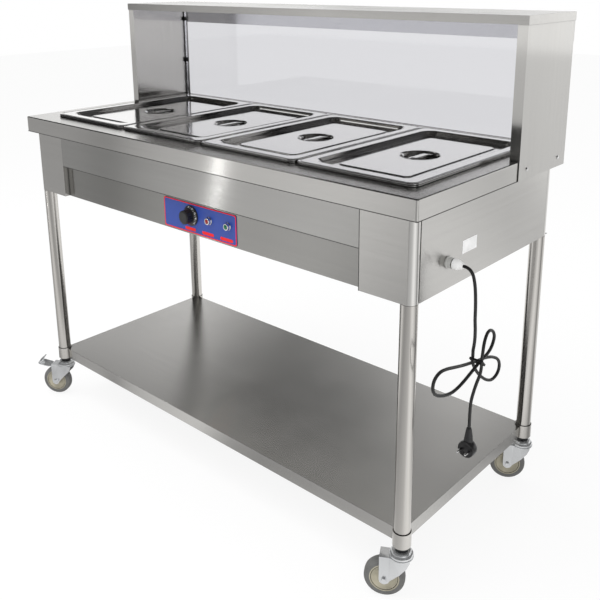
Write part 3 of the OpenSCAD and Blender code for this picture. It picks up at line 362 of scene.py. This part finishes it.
def loft(name, rings, closeStart=False, closeEnd=False, loop=False):
    # skins rings of equal length; loop joins the last ring to the first
    build = bmesh.new()
    rows = [[build.verts.new(p) for p in ring] for ring in rings]
    count = len(rings[0])
    pairs = list(zip(rows, rows[1:])) + ([(rows[-1], rows[0])] if loop else [])
    for low, high in pairs:
        for k in range(count):
            m = (k + 1) % count
            build.faces.new((low[k], low[m], high[m], high[k]))
    if closeStart:
        build.faces.new(rows[0])
    if closeEnd:
        build.faces.new(list(reversed(rows[-1])))
    bmesh.ops.remove_doubles(build, verts=build.verts, dist=0.00001)
    bmesh.ops.recalc_face_normals(build, faces=build.faces)
    return toMesh(build, name)


def turned(name, start, axis, profile, steps=40, loop=False):
    # a solid of revolution; the profile lists distance along the axis and radius
    start, axis = Vector(start), Vector(axis)
    side = axis.orthogonal().normalized()
    other = axis.cross(side)
    angles = [2 * math.pi * (k + 0.5) / steps for k in range(steps)]
    rings = [[start + axis * along + (side * math.cos(a) + other * math.sin(a)) * radius
              for a in angles] for along, radius in profile]
    return loft(name, rings, not loop, not loop, loop)


def thicken(piece, thickness):
    # a skin becomes sheet; its wide flat parts keep flat shading beside their bends
    wall = piece.modifiers.new("sheet", "SOLIDIFY")
    wall.thickness, wall.offset = thickness, -1
    shade = piece.modifiers.new("flats", "WEIGHTED_NORMAL")
    shade.mode, shade.weight, shade.keep_sharp = "FACE_AREA", 90, True


# the corner plates' ends, drawn out to lap over the posts; the hutch's back, seen through the pane
plateEnd = {"from": 0.668, "reach": 0.014}
hutchBack = {"from": 0.25, "facing": -0.7}


def softened(node, finish, width, bend=35, reach=0, rear=None):
    # a copy of a folded or cut piece whose edges, where they bend more than bend, are broken
    # as real ones are; rear is the finish, a paler copy of the steel painted lighter, of what faces the
    # front from behind the pane
    source = nodes[node]
    build = bmesh.new()
    build.from_mesh(source.data)
    bmesh.ops.remove_doubles(build, verts=build.verts, dist=0.00001)
    bmesh.ops.dissolve_limit(build, angle_limit=math.radians(0.6), verts=build.verts, edges=build.edges)
    for vert in build.verts:
        if reach and abs(vert.co.x) > plateEnd["from"]:
            vert.co.x += math.copysign(reach, vert.co.x)
    mesh = toMesh(build, node + "-shown")
    piece = addPiece(node + "-shown", mesh, source["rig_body"], finish, 40)
    if rear:
        mesh.materials.append(finishes[rear])
        for face in mesh.polygons:
            front = face.normal.y < hutchBack["facing"]
            face.material_index = int(front and face.center.y > hutchBack["from"])
    edge = piece.modifiers.new("edge", "BEVEL")
    edge.width, edge.segments, edge.limit_method = width, 2, "ANGLE"
    edge.angle_limit = math.radians(bend)
    edge.harden_normals = True
    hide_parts(node)
    return piece


def repaint(node, finish):
    piece = nodes[node]
    piece.data.materials.clear()
    piece.data.materials.append(finishes[finish])


# the mains lead: one smooth line through the route's points, given in millimetres

dropRoute = [(723, -178, 774), (736, -178, 774), (744, -178, 773),
             (752, -178, 769), (758, -178, 761), (762, -178, 749), (765, -178, 732), (767, -178, 710),
             (768, -178, 687), (768, -177, 663), (768, -174, 639), (766, -170, 616),
             (762, -165, 597), (758.5, -161, 585), (758, -160, 577), (758, -160, 570)]
loopRoute = [(758, -160, 570), (758, -160, 562), (758, -157, 551), (758, -149, 538),
             (760, -138, 523), (763, -125, 509), (766, -109, 497), (768, -91, 490),
             (769, -74, 492), (769, -61, 501), (769, -58, 515), (769, -66, 530),
             (768, -82, 541), (767, -101, 549), (765.5, -121, 554), (765.5, -142, 558),
             (765.5, -164, 562), (766, -191, 568), (768, -220, 576), (769, -252, 585),
             (769, -282, 593), (769, -308, 596), (769, -327, 588), (769, -333, 572),
             (769, -325, 556), (769, -307, 544), (769, -285, 536), (770, -262, 532),
             (771, -240, 534), (772, -218, 540), (773, -197, 548), (773, -178, 554),
             (773, -160, 560), (773, -141, 564), (772, -123, 567), (771, -107, 573),
             (770, -96, 583), (770, -92, 596), (770, -98, 609), (770, -111, 617),
             (772, -127, 617), (775, -141, 610), (778, -152, 599), (780, -158, 587),
             (780.5, -161, 576), (780.5, -162, 567), (780.5, -162, 559)]
tailRoute = [(780.5, -162, 559), (780.5, -162, 551), (780, -166, 536), (777, -172, 519),
             (774, -177, 500), (771, -180, 479), (770, -181, 457), (770, -181, 436),
             (770, -181, 421), (770, -181, 413)]


def smoothLine(points, steps):
    # a line that passes through every point without a kink, in steps between one and the next
    line = []
    last = len(points) - 1
    for i in range(last):
        a, b, c, d = (points[min(max(k, 0), last)] for k in (i - 1, i, i + 1, i + 2))
        for step in range(steps):
            t = step / steps
            line.append(0.5 * (2 * b + (c - a) * t + (2 * a - 5 * b + 4 * c - d) * t * t
                               + (3 * b - a - 3 * c + d) * t ** 3))
    return line + [points[-1]]


def makeLead():
    lead = {"diameter": 0.007, "steps": 4, "roundness": 4}
    route = [Vector(p) / 1000 for p in dropRoute + loopRoute[1:] + tailRoute[1:]]
    line = smoothLine(route, lead["steps"])
    curve = bpy.data.curves.new("mains-lead", "CURVE")
    curve.dimensions = "3D"
    curve.bevel_depth = lead["diameter"] / 2
    curve.bevel_resolution = lead["roundness"]
    curve.use_fill_caps = True
    spline = curve.splines.new("POLY")
    spline.points.add(len(line) - 1)
    for point, place in zip(spline.points, line):
        point.co = (*place, 1)
    curve.materials.append(finishes["sheath"])
    piece = bpy.data.objects.new("mains-lead", curve)
    scene.collection.objects.link(piece)
    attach(piece, "cart")
    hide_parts("cord_drop", "cord_loops", "cord_tail")
    length = sum((b - a).length for a, b in zip(line, line[1:]))
    return piece, line[0], length


def makePlug():
    # angled plug: a round face with two pins to the front and a ribbed grip above
    plug = {"x": 0.770, "y": -0.181, "z": 0.365, "radius": 0.019, "half": 0.012, "top": 0.413}
    grip = {"from": 0.012, "foot": 0.0108, "neck": 0.0054, "flat": 0.0115, "ribs": 7, "ribsFrom": 0.35,
            "rib": (0, 0.0005, 0.0005, 0), "around": 28}
    pin = {"apart": 0.0095, "blunt": 0.0012, "tip": 0.55}
    # the body's outline, as shares of its half depth and radius
    outline = ((-1.0, 0.55), (-0.93, 0.60), (-0.93, 0.84), (-1.0, 0.90), (-0.98, 0.96), (-0.88, 1.0),
               (0.1, 1.0), (0.45, 0.97), (0.75, 0.90), (0.93, 0.74), (1.0, 0.45))
    profile = [(along * plug["half"], radius * plug["radius"]) for along, radius in outline]
    mesh = turned("plug-body", (plug["x"], plug["y"], plug["z"]), (0, 1, 0), profile)
    body = addPiece("plug-body", mesh, "cart", "black", 50)
    rings = []
    low = plug["z"] + grip["from"]
    last = grip["ribs"] * 4
    for i in range(last + 1):
        t = i / last
        wide = grip["foot"] + (grip["neck"] - grip["foot"]) * t
        if t > grip["ribsFrom"]:
            wide += grip["rib"][i % 4]
        deep = min(wide, grip["flat"])
        angles = [2 * math.pi * k / grip["around"] for k in range(grip["around"])]
        rings.append([Vector((plug["x"] + wide * math.cos(a), plug["y"] + deep * math.sin(a),
                              low + t * (plug["top"] - low))) for a in angles])
    pieces = [body, addPiece("plug-grip", loft("plug-grip", rings, True, True), "cart", "black",
                             40)]
    for side, place in ((-1, "left"), (1, "right")):
        start = (plug["x"] + side * pin["apart"], plug["y"] - plug["half"], plug["z"])
        for kind, length, radius, finish in (("sleeve", 0.009, 0.0024, "black"),
                                             ("pin", 0.019, 0.0021, "chrome")):
            profile = [(0, radius), (length - pin["blunt"], radius), (length, radius * pin["tip"])]
            name = f"plug-{kind}-{place}"
            mesh = turned(name, start, (0, -1, 0), profile, 20)
            pieces.append(addPiece(name, mesh, "cart", finish, 40))
    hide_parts("plug")
    return pieces


plugPieces = makePlug()
leadPiece, leadExit, leadLength = makeLead()
tiePiece = softened("cord_tie", "black", 0.0002)
print("mains lead laid, metres:", round(leadLength, 3))


# worktop, pans and lids: the opening's middle and the pans' spacing along it

pitch, shift = 0.3265, 0.014


def wellMiddle(number):
    return shift + (number - 2.5) * pitch, 0


def makeWorktop():
    top = {"length": 1.430, "depth": 0.650, "height": 0.945, "corner": 0.005, "bend": 0.003,
           "lip": 0.046, "hem": 0.002, "inward": 0.012, "hemCorner": 0.002, "sheet": 0.0012}
    opening = {"halfX": 0.64275, "halfY": 0.2555, "corner": 0.007, "blunt": 0.0005, "fall": 0.0004}
    z, bend, hem = top["height"], top["bend"], top["hem"]
    hole = ((shift, 0), opening["halfX"], opening["halfY"])
    outer = ((0, 0), top["length"] / 2, top["depth"] / 2)
    rings = [insetLoop(hole, inset, opening["corner"], z - fall)
             for inset, fall in ((0, top["sheet"]), (0, opening["fall"]), (-opening["blunt"], 0))]
    for sine, cosine in quarter(6):
        rings.append(insetLoop(outer, bend * (1 - sine), top["corner"], z - bend * (1 - cosine)))
    low = z - top["lip"]
    for sine, cosine in quarter(4):
        rings.append(insetLoop(outer, hem * (1 - cosine), top["corner"], low + hem * (1 - sine)))
    rings.append(insetLoop(outer, top["inward"], top["hemCorner"], low))
    mesh = loft("worktop-shown", rings)
    piece = addPiece("worktop-shown", mesh, "cart", "sheetX", 40)
    # the grain runs along the end edges as well
    mesh.materials.append(finishes["sheetY"])
    for face in mesh.polygons:
        face.material_index = int(abs(face.normal.x) > 0.7)
    thicken(piece, top["sheet"])
    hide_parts("worktop")


def makePan(number):
    # the shown skin lies inside the modelled pan by tuck at its wall and lift at its floor
    pan = {"halfX": 0.1625, "halfY": 0.265, "corner": 0.020, "rim": 0.950, "edge": 0.005,
           "fold": 0.0016, "flange": 0.0145, "shoulder": 0.003, "depth": 0.145, "draft": 0.007,
           "radius": 0.042, "foot": 0.014, "tuck": 0.0005, "lift": 0.001, "sheet": 0.0009}
    middle, z = wellMiddle(number), pan["rim"]
    fold, shoulder, foot = pan["fold"], pan["shoulder"], pan["foot"]
    outer = (middle, pan["halfX"], pan["halfY"])
    mouth = (middle, pan["halfX"] - pan["flange"], pan["halfY"] - pan["flange"])
    rings = [insetLoop(outer, 0, pan["corner"], z - pan["edge"])]
    for sine, cosine in quarter(5):
        rings.append(insetLoop(outer, fold * (1 - cosine), pan["corner"], z - fold * (1 - sine)))
    for sine, cosine in quarter(5):
        rings.append(insetLoop(mouth, -shoulder * (1 - sine), pan["radius"], z - shoulder * (1 - cosine)))
    floor = z - pan["depth"] + pan["lift"]
    for sine, cosine in quarter(7):
        inset = pan["draft"] - pan["tuck"] + foot * (1 - cosine)
        rings.append(insetLoop(mouth, inset, pan["radius"] - pan["draft"], floor + foot * (1 - sine)))
    mesh = loft(f"pan-{number}-shown", rings, closeEnd=True)
    body = f"pan_{number}_body"
    piece = addPiece(f"pan-{number}-shown", mesh, body, "drawn", 50)
    thicken(piece, pan["sheet"])
    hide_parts(f"pan_{number}")


def makeLid(number):
    lid = {"halfX": 0.1625, "halfY": 0.265, "corner": 0.020, "top": 0.954, "edge": 0.004,
           "fold": 0.0024, "rim": 0.030, "sink": 0.012, "slope": 0.008, "side": 0.028, "end": 0.036,
           "field": 0.0025, "recess": 0.048, "deep": 0.017, "sheet": 0.0009}
    middle, z, fold = wellMiddle(number), lid["top"], lid["fold"]
    outer = (middle, lid["halfX"], lid["halfY"])
    rings = [insetLoop(outer, 0, lid["corner"], z - lid["edge"])]
    for sine, cosine in quarter(6):
        rings.append(insetLoop(outer, fold * (1 - cosine), lid["corner"], z - fold * (1 - sine)))
    # the bead along the rim
    for inset, fall in ((0.0036, 0.0001), (0.0046, 0.0009), (0.0058, 0.0010), (0.0070, 0.0003),
                        (0.0080, 0.0)):
        rings.append(insetLoop(outer, inset, 0.018, z - fall))
    # the well's wall: rounded shoulder, slope and rounded foot
    inX, inY = lid["halfX"] - lid["rim"], lid["halfY"] - lid["rim"]
    lowX, lowY = inX - lid["slope"], inY - lid["slope"]
    for offset, fall in ((0.004, 0.0), (0.002, 0.0003), (0.0005, 0.0012)):
        rings.append(insetLoop((middle, inX, inY), -offset, 0.032, z - fall))
    for share in (0.25, 0.5, 0.75):
        rings.append(insetLoop((middle, inX, inY), lid["slope"] * share, 0.031 - 0.004 * share,
                               z - 0.0012 - (lid["sink"] - 0.0030) * share))
    for offset, rise in ((0.0005, 0.0012), (-0.002, 0.0003), (-0.005, 0.0)):
        rings.append(insetLoop((middle, lowX, lowY), -offset, 0.026, z - lid["sink"] + rise))
    # the raised field and the round recess in its middle
    field = (middle, lowX - lid["side"], lowY - lid["end"])
    fieldZ = z - lid["sink"] + lid["field"]
    for offset, rise in ((0.0020, 0.0), (0.0006, 0.0004), (-0.0008, 0.0021), (-0.0025, 0.0025)):
        rings.append(insetLoop(field, -offset, 0.014, z - lid["sink"] + rise))
    r, deep = lid["recess"], lid["deep"]
    for radius, drop in ((r + 0.0035, 0), (r + 0.0022, -0.0007), (r + 0.0008, -0.0007),
                         (r - 0.0006, 0.0006), (r - 0.0018, 0.004), (r - 0.0035, 0.009),
                         (r - 0.0065, 0.0135), (r - 0.011, 0.0162), (r - 0.017, deep), (0.006, deep)):
        rings.append(roundLoop(middle, radius, radius, radius, fieldZ - drop))
    mesh = loft(f"lid-{number}-shown", rings, closeEnd=True)
    body = f"lid_{number}_body"
    piece = addPiece(f"lid-{number}-shown", mesh, body, "drawn", 60)
    thicken(piece, lid["sheet"])
    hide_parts(f"lid_{number}")
    makeStrap(number, middle, fieldZ, r)


def makeStrap(number, middle, fieldZ, reach):
    # pressed strap across the recess, a little crowned and rounded at its edges; its ends dip
    strap = {"wide": 0.022, "thick": 0.0022, "short": 0.0015, "sunk": 0.0005, "steps": 24,
             "flare": 0.12, "dip": 0.0045, "dipFrom": 0.45, "edge": 0.0008, "crown": 0.00025,
             "round": 0.0007, "under": 0.0005, "low": 0.0003}
    thick, edge, crown = strap["thick"], strap["edge"], strap["crown"]
    rings = []
    for step in range(strap["steps"] + 1):
        t = -1 + 2 * step / strap["steps"]
        y = t * (reach - strap["short"])
        z = fieldZ - strap["sunk"] - strap["dip"] * max(0, abs(t) - strap["dipFrom"]) ** 1.5 * 2.45
        half = strap["wide"] / 2 * (1 + strap["flare"] * t * t)
        outline = [(-half + edge, 0), (-half * 0.4, crown), (half * 0.4, crown), (half - edge, 0),
                   (half, -strap["round"]), (half, -thick + strap["under"]), (half - edge, -thick),
                   (-half + edge, -thick), (-half, -thick + strap["under"]), (-half, -strap["round"])]
        rings.append([Vector((middle[0] + x, middle[1] + y, z + h - strap["low"])) for x, h in outline])
    name = f"lid-{number}-strap"
    mesh = loft(name, rings, True, True)
    addPiece(name, mesh, f"lid_{number}_body", "drawn", 50)


makeWorktop()
for number in range(1, 5):
    makePan(number)
    makeLid(number)
print("worktop, pans and lids shaped")


# small fittings

def facing(middle, halfX, halfZ, radius, depth, y):
    # a rounded rectangle on a face that looks to the front
    return [Vector((p.x, y - p.z, p.y)) for p in roundLoop(middle, halfX, halfZ, radius, depth, 6)]


def makePanelPrint():
    # red edge line and three plain red label bars, with no words
    panel = {"face": -0.2925, "middle": (0.038, 0.757), "halfX": 0.138, "halfZ": 0.040,
             "corner": 0.005, "margin": 0.0003, "line": 0.0030, "thick": 0.0002}
    bars = {"places": ((0.004, 0.0205), (0.071, 0.022), (0.140, 0.023)), "z": 0.7275,
            "half": 0.0042, "corner": 0.0038}
    face, thick, margin, line = (panel[key] for key in ("face", "thick", "margin", "line"))
    section = ((margin, 0), (margin, thick), (line, thick), (line, 0))
    rings = [facing(panel["middle"], panel["halfX"] - inset, panel["halfZ"] - inset,
                    panel["corner"], depth, face) for inset, depth in section]
    mesh = loft("panel-edge-line", rings, loop=True)
    addPiece("panel-edge-line", mesh, "cart", "redPrint")
    for k, (x, half) in enumerate(bars["places"]):
        rings = [facing((x, bars["z"]), half, bars["half"], bars["corner"], depth, face)
                 for depth in (0, thick)]
        name = f"panel-bar-{k + 1}"
        addPiece(name, loft(name, rings, True, True), "cart", "redPrint")


def makeDial():
    # white ticks and plain numbers on the knob's cone, and a grey disc in its middle as a painted
    # highlight
    dial = {"middle": Vector((0.008, -0.2983, 0.764)), "radius": 0.0233, "lean": 40, "size": 0.0060,
            "thick": 0.00006, "labels": ("30", "|", "50", "|", "70", "|", "90", "|", "110"),
            "first": 96, "step": -17}
    highlightDisc = {"out": 0.0006, "profile": ((0, 0.0050), (0.0003, 0.0050), (0.00055, 0.0030), (0.0006, 0.0004))}
    build = bmesh.new()
    for k, label in enumerate(dial["labels"]):
        curve = bpy.data.curves.new("dial", "FONT")
        curve.body, curve.size, curve.align_x, curve.align_y = label, dial["size"], "CENTER", "CENTER"
        curve.extrude = dial["thick"]
        holder = bpy.data.objects.new("dial", curve)
        mesh = bpy.data.meshes.new_from_object(holder)
        angle = math.radians(90 - (dial["first"] + dial["step"] * k))
        outward = Vector((math.sin(angle), 0, math.cos(angle)))
        lean = Matrix.Rotation(math.radians(90 - dial["lean"]), 4, "X")
        turn = Matrix.Rotation(angle, 4, "Y") @ lean
        mesh.transform(Matrix.Translation(dial["middle"] + outward * dial["radius"]) @ turn)
        build.from_mesh(mesh)
        bpy.data.objects.remove(holder)
        bpy.data.curves.remove(curve)
    marks = toMesh(build, "dial-marks")
    addPiece("dial-marks", marks, "knob_body", "whitePrint", 0)
    # painted highlight: a grey disc in the knob's middle stands for the shine on its face
    low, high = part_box("thermostat_knob")
    start = (dial["middle"].x, low[1] + highlightDisc["out"], dial["middle"].z)
    mesh = turned("knob-highlight-disc", start, (0, -1, 0), highlightDisc["profile"], 32)
    addPiece("knob-highlight-disc", mesh, "knob_body", "greyCase", 60)


def makeGland():
    # base, dark ring and nut, each as distance along the axis and radius; and the bare side label
    start = (0.697, -0.178, 0.774)
    parts = {"gland-base": ("lightGrey", ((0, 0.0122), (0.0036, 0.0128), (0.0040, 0.0117),
                                          (0.0128, 0.0117), (0.0134, 0.0108), (0.0150, 0.0104))),
             "gland-ring": ("black", ((0.0136, 0.0100), (0.0137, 0.0116), (0.0156, 0.0116),
                                      (0.0157, 0.0100))),
             "gland-nut": ("white", ((0.0154, 0.0112), (0.0160, 0.0122), (0.0250, 0.0116),
                                     (0.0296, 0.0104), (0.0345, 0.0078), (0.0378, 0.0060),
                                     (0.0380, 0.0040)))}
    for name, (finish, profile) in parts.items():
        mesh = turned(name, start, (1, 0, 0), profile)
        piece = addPiece(name, mesh, "cart", finish, 30)
        if name == "gland-base":
            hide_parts("cable_gland")
    label = {"x": 0.6971, "y": (-0.119, -0.059), "z": (0.775, 0.805), "thick": 0.00015}
    corners = [(label["y"][i], label["z"][k]) for i, k in ((0, 0), (1, 0), (1, 1), (0, 1))]
    rings = [[Vector((label["x"] + out, y, z)) for y, z in corners] for out in (0, label["thick"])]
    addPiece("side-label", loft("side-label", rings, True, True), "cart", "white")


def makeWheelTrim(corner):
    # painted shade: a dark ring where the groove between hub and tyre lies in shade, and a pale rim round
    # it, on both sides of the wheel
    trim = {"hub-seam-": ("darkInsert", ((0.0113, 0.0300), (0.01185, 0.0301), (0.01185, 0.0313),
                                         (0.0113, 0.0314))),
            "tyre-rim-": ("beige", ((0.0118, 0.0313), (0.01215, 0.0315), (0.01235, 0.0335),
                                    (0.0118, 0.0345)))}
    axle = Vector((0.5, -0.866, 0))
    low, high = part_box("hub_" + corner)
    middle = (Vector(low) + Vector(high)) / 2
    for side, place in ((-1, "inner"), (1, "outer")):
        for kind, (finish, profile) in trim.items():
            name = f"{kind}{corner}-{place}"
            mesh = turned(name, middle, axle * side, profile, 72, loop=True)
            addPiece(name, mesh, "wheel_" + corner, finish, 40)


def makeGapShadowsAndEdge():
    # painted shadow: dark strips laid along the narrow gaps between the front's sheets, where shade
    # falls; and the bright cut edge of the left plate
    gapLines = {"under-worktop": ((-0.7140, -0.32525, 0.8988), (0.7140, -0.3240, 0.9001)),
              "under-worktop-right": ((0.7140, -0.3240, 0.8988), (0.71525, 0.3240, 0.9001)),
              "under-strip": ((-0.5605, -0.30725, 0.8066), (0.5605, -0.3060, 0.8080)),
              "plate-right": ((0.5612, -0.30725, 0.7130), (0.5628, -0.3065, 0.8985)),
              "plate-left": ((-0.5620, -0.30725, 0.7130), (-0.5608, -0.3065, 0.8985))}
    for gapLine, (low, high) in gapLines.items():
        base = ((low[0], low[1]), (high[0], low[1]), (high[0], high[1]), (low[0], high[1]))
        rings = [[Vector((x, y, z)) for x, y in base] for z in (low[2], high[2])]
        # the strips take the dark painted-shadow finish; the left plate's cut edge is polished steel
        finish = "polished" if gapLine == "plate-left" else "seam"
        name = "gap-line-" + gapLine
        addPiece(name, loft(name, rings, True, True), "cart", finish)


# body, frame and hutch: softened copies by finish, and nodes that only change their finish

# the front strip, lower front panel and bottom cover take the darker painted-shade copies of the steel
panels = {"panelX": ["front_strip"],
          "lowerX": ["lower_front_panel", "bottom_cover"],
          "sheetX": ["front_corner_plates", "rear_panel", "lower_shelf", "shelf_stiffeners",
                     "hutch_top", "pan_support_bars", "water_tank", "tank_walls"],
          "sheetY": ["side_panels", "element_cover"],
          "sheetZ": ["hutch_sides"],
          "tube": ["legs", "shelf_collars"],
          "polished": ["corner_posts"],
          "chrome": ["hutch_screws", "lamp_bezels"],
          "zinc": ["brake_pedal_front_left", "brake_pedal_rear_left"],
          "darkInsert": ["glass_clips", "caster_stems"],
          "bluePlate": ["control_plate"],
          "black": ["thermostat_knob"],
          "brass": ["drain_valve", "element_bushes"],
          "redLever": ["drain_lever"],
          "beige": ["hub_front_left", "hub_front_right", "hub_rear_left", "hub_rear_right"]}
repainted = {"element": ["heating_elements"], "greyCase": ["thermostat"], "redLens": ["red_lens"],
             "greenLens": ["green_lens"], "glass": ["hutch_glass"],
             "tyre": ["tyre_front_left", "tyre_front_right", "tyre_rear_left", "tyre_rear_right"]}
panelEdge, forkEdge, forkBend = 0.0004, 0.0007, 11

for finish, names in panels.items():
    for name in names:
        reach = plateEnd["reach"] if name == "front_corner_plates" else 0
        # the hutch's faces seen through the pane take the paler painted-light copy of its steel
        rear = "pale" if name in ("hutch_top", "hutch_sides") else None
        softened(name, finish, panelEdge, reach=reach, rear=rear)
for corner in ("front_left", "front_right", "rear_left", "rear_right"):
    softened("fork_" + corner, "zinc", forkEdge, forkBend)
    makeWheelTrim(corner)
makeGland()
makePanelPrint()
makeDial()
makeGapShadowsAndEdge()
for finish, names in repainted.items():
    for name in names:
        repaint(name, finish)
print("body, frame and hutch finished")


# studio: what metal mirrors, by angle from the X axis in degrees; how bright the room is there,
# and how high up its bright part goes
roomLevels = {-180: 0.40, -147.5: 0.44, -146: 0.26, -144.6: 0.28, -143.2: 0.52, -139.5: 0.66,
              -136: 0.72, -128: 0.80, -118: 0.90, -112: 0.85, -108: 0.72, -103: 0.55, -95: 0.38,
              -78: 0.30, -66: 0.38, -45: 0.50, -34: 0.62, -24: 0.95, -12: 1.10, 4: 0.80, 13: 0.55,
              20: 0.24, 27: 0.30, 35: 0.66, 39: 0.92, 46: 0.90, 54: 0.66, 57: 0.72, 62: 1.13,
              75: 1.12, 150: 0.95, 180: 0.40}
roomHeights = {-180: 0.15, -160: 0.09, -145: 0.02, -100: -0.02, -85: 0.28, -15: 0.28, 0: 0.02,
               28: 0.02, 36: 0.24, 50: 0.24, 65: 0.20, 80: 0.20, 95: 0.24, 108: 0.36, 115: 0.46,
               119: 0.50, 122: 0.47, 126: 0.38, 130: 0.31, 136: 0.37, 139: 0.40, 142: 0.45,
               146: 0.41, 155: 0.36, 168: 0.25, 180: 0.15}
# beyond the floor the front's side of the room is lighter
wallLevels = {**roomLevels, -136: 0.85, -128: 1.05, -118: 1.05, -112: 1.0}


def around(tree, direction, levels):
    # the level listed for each direction round the object
    low, high = min(levels.values()), max(levels.values())
    parts = addNode(tree, "ShaderNodeSeparateXYZ")
    tree.links.new(direction, parts.inputs[0])
    turn = maths(tree, "ARCTAN2", parts.outputs["Y"], parts.outputs["X"])
    ramp = addNode(tree, "ShaderNodeValToRGB")
    stops = ramp.color_ramp.elements
    while len(stops) > 1:
        stops.remove(stops[-1])
    for k, (angle, value) in enumerate(levels.items()):
        position = (angle + 180) / 360
        stop = stops[0] if k == 0 else stops.new(position)
        stop.position = position
        stop.color = (*[(value - low) / (high - low)] * 3, 1)
    tree.links.new(between(tree, turn, 0, 1, -math.pi, math.pi), ramp.inputs[0])
    return between(tree, ramp.outputs["Color"], low, high, 0, 1)


def makeFloor():
    # white with a faint shadow for the camera and through the pane; metal mirrors the room's
    # levels in it, and one even level close round the casters
    ground = {"half": 12.0, "color": (0.92, 0.92, 0.92, 1), "rough": 0.9, "grain": 3, "relief": 0.0001,
              "shadowShare": 0.15, "white": 1.02, "caster": (0.70, 0.26, 0), "patch": (0.06, 0.17),
              "patchLevel": 0.75}
    half = ground["half"]
    mesh = bpy.data.meshes.new("floor")
    corners = [(-half, -half, 0), (half, -half, 0), (half, half, 0), (-half, half, 0)]
    mesh.from_pydata(corners, [], [(0, 1, 2, 3)])
    floor = bpy.data.objects.new("floor", mesh)
    scene.collection.objects.link(floor)
    material, tree, shader = newMaterial("paleFloor")
    shader.inputs["Base Color"].default_value = ground["color"]
    shader.inputs["Roughness"].default_value = ground["rough"]
    bumped(tree, shader, noiseAt(tree, ground["grain"]), ground["relief"])
    place = addNode(tree, "ShaderNodeTexCoord").outputs["Object"]
    path = addNode(tree, "ShaderNodeLightPath").outputs
    clear = maths(tree, "MAXIMUM", path["Is Camera Ray"], path["Is Transmission Ray"])
    # the floor is folded onto one quarter, so that one caster's place stands for all four
    folded = addNode(tree, "ShaderNodeVectorMath", operation="ABSOLUTE")
    tree.links.new(place, folded.inputs[0])
    away = addNode(tree, "ShaderNodeVectorMath", operation="DISTANCE")
    tree.links.new(folded.outputs["Vector"], away.inputs[0])
    away.inputs[1].default_value = ground["caster"]
    near = between(tree, away.outputs["Value"], 1, 0, *ground["patch"])
    mirrored = mixed(tree, near, around(tree, place, roomLevels), ground["patchLevel"])
    white = addNode(tree, "ShaderNodeEmission")
    tree.links.new(mixed(tree, clear, mirrored, ground["white"]), white.inputs["Strength"])
    seen = maths(tree, "MAXIMUM", clear, path["Is Glossy Ray"])
    share = maths(tree, "MULTIPLY", seen, 1 - ground["shadowShare"])
    mix = addNode(tree, "ShaderNodeMixShader")
    tree.links.new(share, mix.inputs[0])
    tree.links.new(shader.outputs[0], mix.inputs[1])
    tree.links.new(white.outputs[0], mix.inputs[2])
    tree.links.new(mix.outputs[0], tree.nodes["Material Output"].inputs["Surface"])
    mesh.materials.append(material)


def makeLamps():
    # metal mirrors only the low card, as a narrow highlight, and the edge light above
    lamps = {"overhead": {"place": (-0.8, -1.0, 3.6), "size": (3.0, 3.0), "power": 70},
             "fill": {"place": (2.8, -2.6, 2.2), "size": (2.0, 2.0), "power": 25},
             "card": {"place": (-2.10, -2.31, 0.11), "size": (0.05, 0.20), "power": 0.42},
             "edgeLight": {"place": (-1.61, -0.65, 2.73), "size": (0.9, 0.9), "power": 3.0}}
    mirrored = ("card", "edgeLight")
    target = Vector((0, 0, 0.8))
    for name, values in lamps.items():
        lamp = bpy.data.lights.new(name, "AREA")
        lamp.shape, lamp.energy = "RECTANGLE", values["power"]
        lamp.size, lamp.size_y = values["size"]
        holder = bpy.data.objects.new(name, lamp)
        holder.location = values["place"]
        holder.rotation_euler = (target - Vector(values["place"])).to_track_quat("-Z", "Y").to_euler()
        holder.visible_glossy = name in mirrored
        scene.collection.objects.link(holder)


def makeWorld():
    # white for the camera; metal sees a bright band low down and a dark ceiling
    room = {"wall": 1.25, "dark": 0.07, "fade": (-0.04, 0.09), "diffuse": 0.75, "paneFade": (0.0, 0.04)}
    world = bpy.data.worlds.new("room")
    scene.world = world
    world.use_nodes = True
    tree = world.node_tree
    back = tree.nodes["Background"]
    direction = addNode(tree, "ShaderNodeTexCoord").outputs["Generated"]
    parts = addNode(tree, "ShaderNodeSeparateXYZ")
    tree.links.new(direction, parts.inputs[0])
    height = maths(tree, "SUBTRACT", parts.outputs["Z"], around(tree, direction, roomHeights))
    band = between(tree, height, room["wall"], room["dark"], *room["fade"])
    shown = maths(tree, "MULTIPLY", band, around(tree, direction, wallLevels))
    path = addNode(tree, "ShaderNodeLightPath").outputs
    soft = maths(tree, "MULTIPLY", path["Is Diffuse Ray"], room["diffuse"])
    # through the pane the room is white up to the horizon
    low = between(tree, parts.outputs["Z"], 1, 0, *room["paneFade"])
    through = maths(tree, "MULTIPLY", path["Is Transmission Ray"], low)
    clear = maths(tree, "MAXIMUM", path["Is Camera Ray"], through)
    level = mixed(tree, clear, maths(tree, "MAXIMUM", shown, soft), 1)
    tree.links.new(level, back.inputs["Strength"])
    back.inputs["Color"].default_value = (1, 1, 1, 1)


makeFloor()
makeLamps()
makeWorld()
print("studio lit")
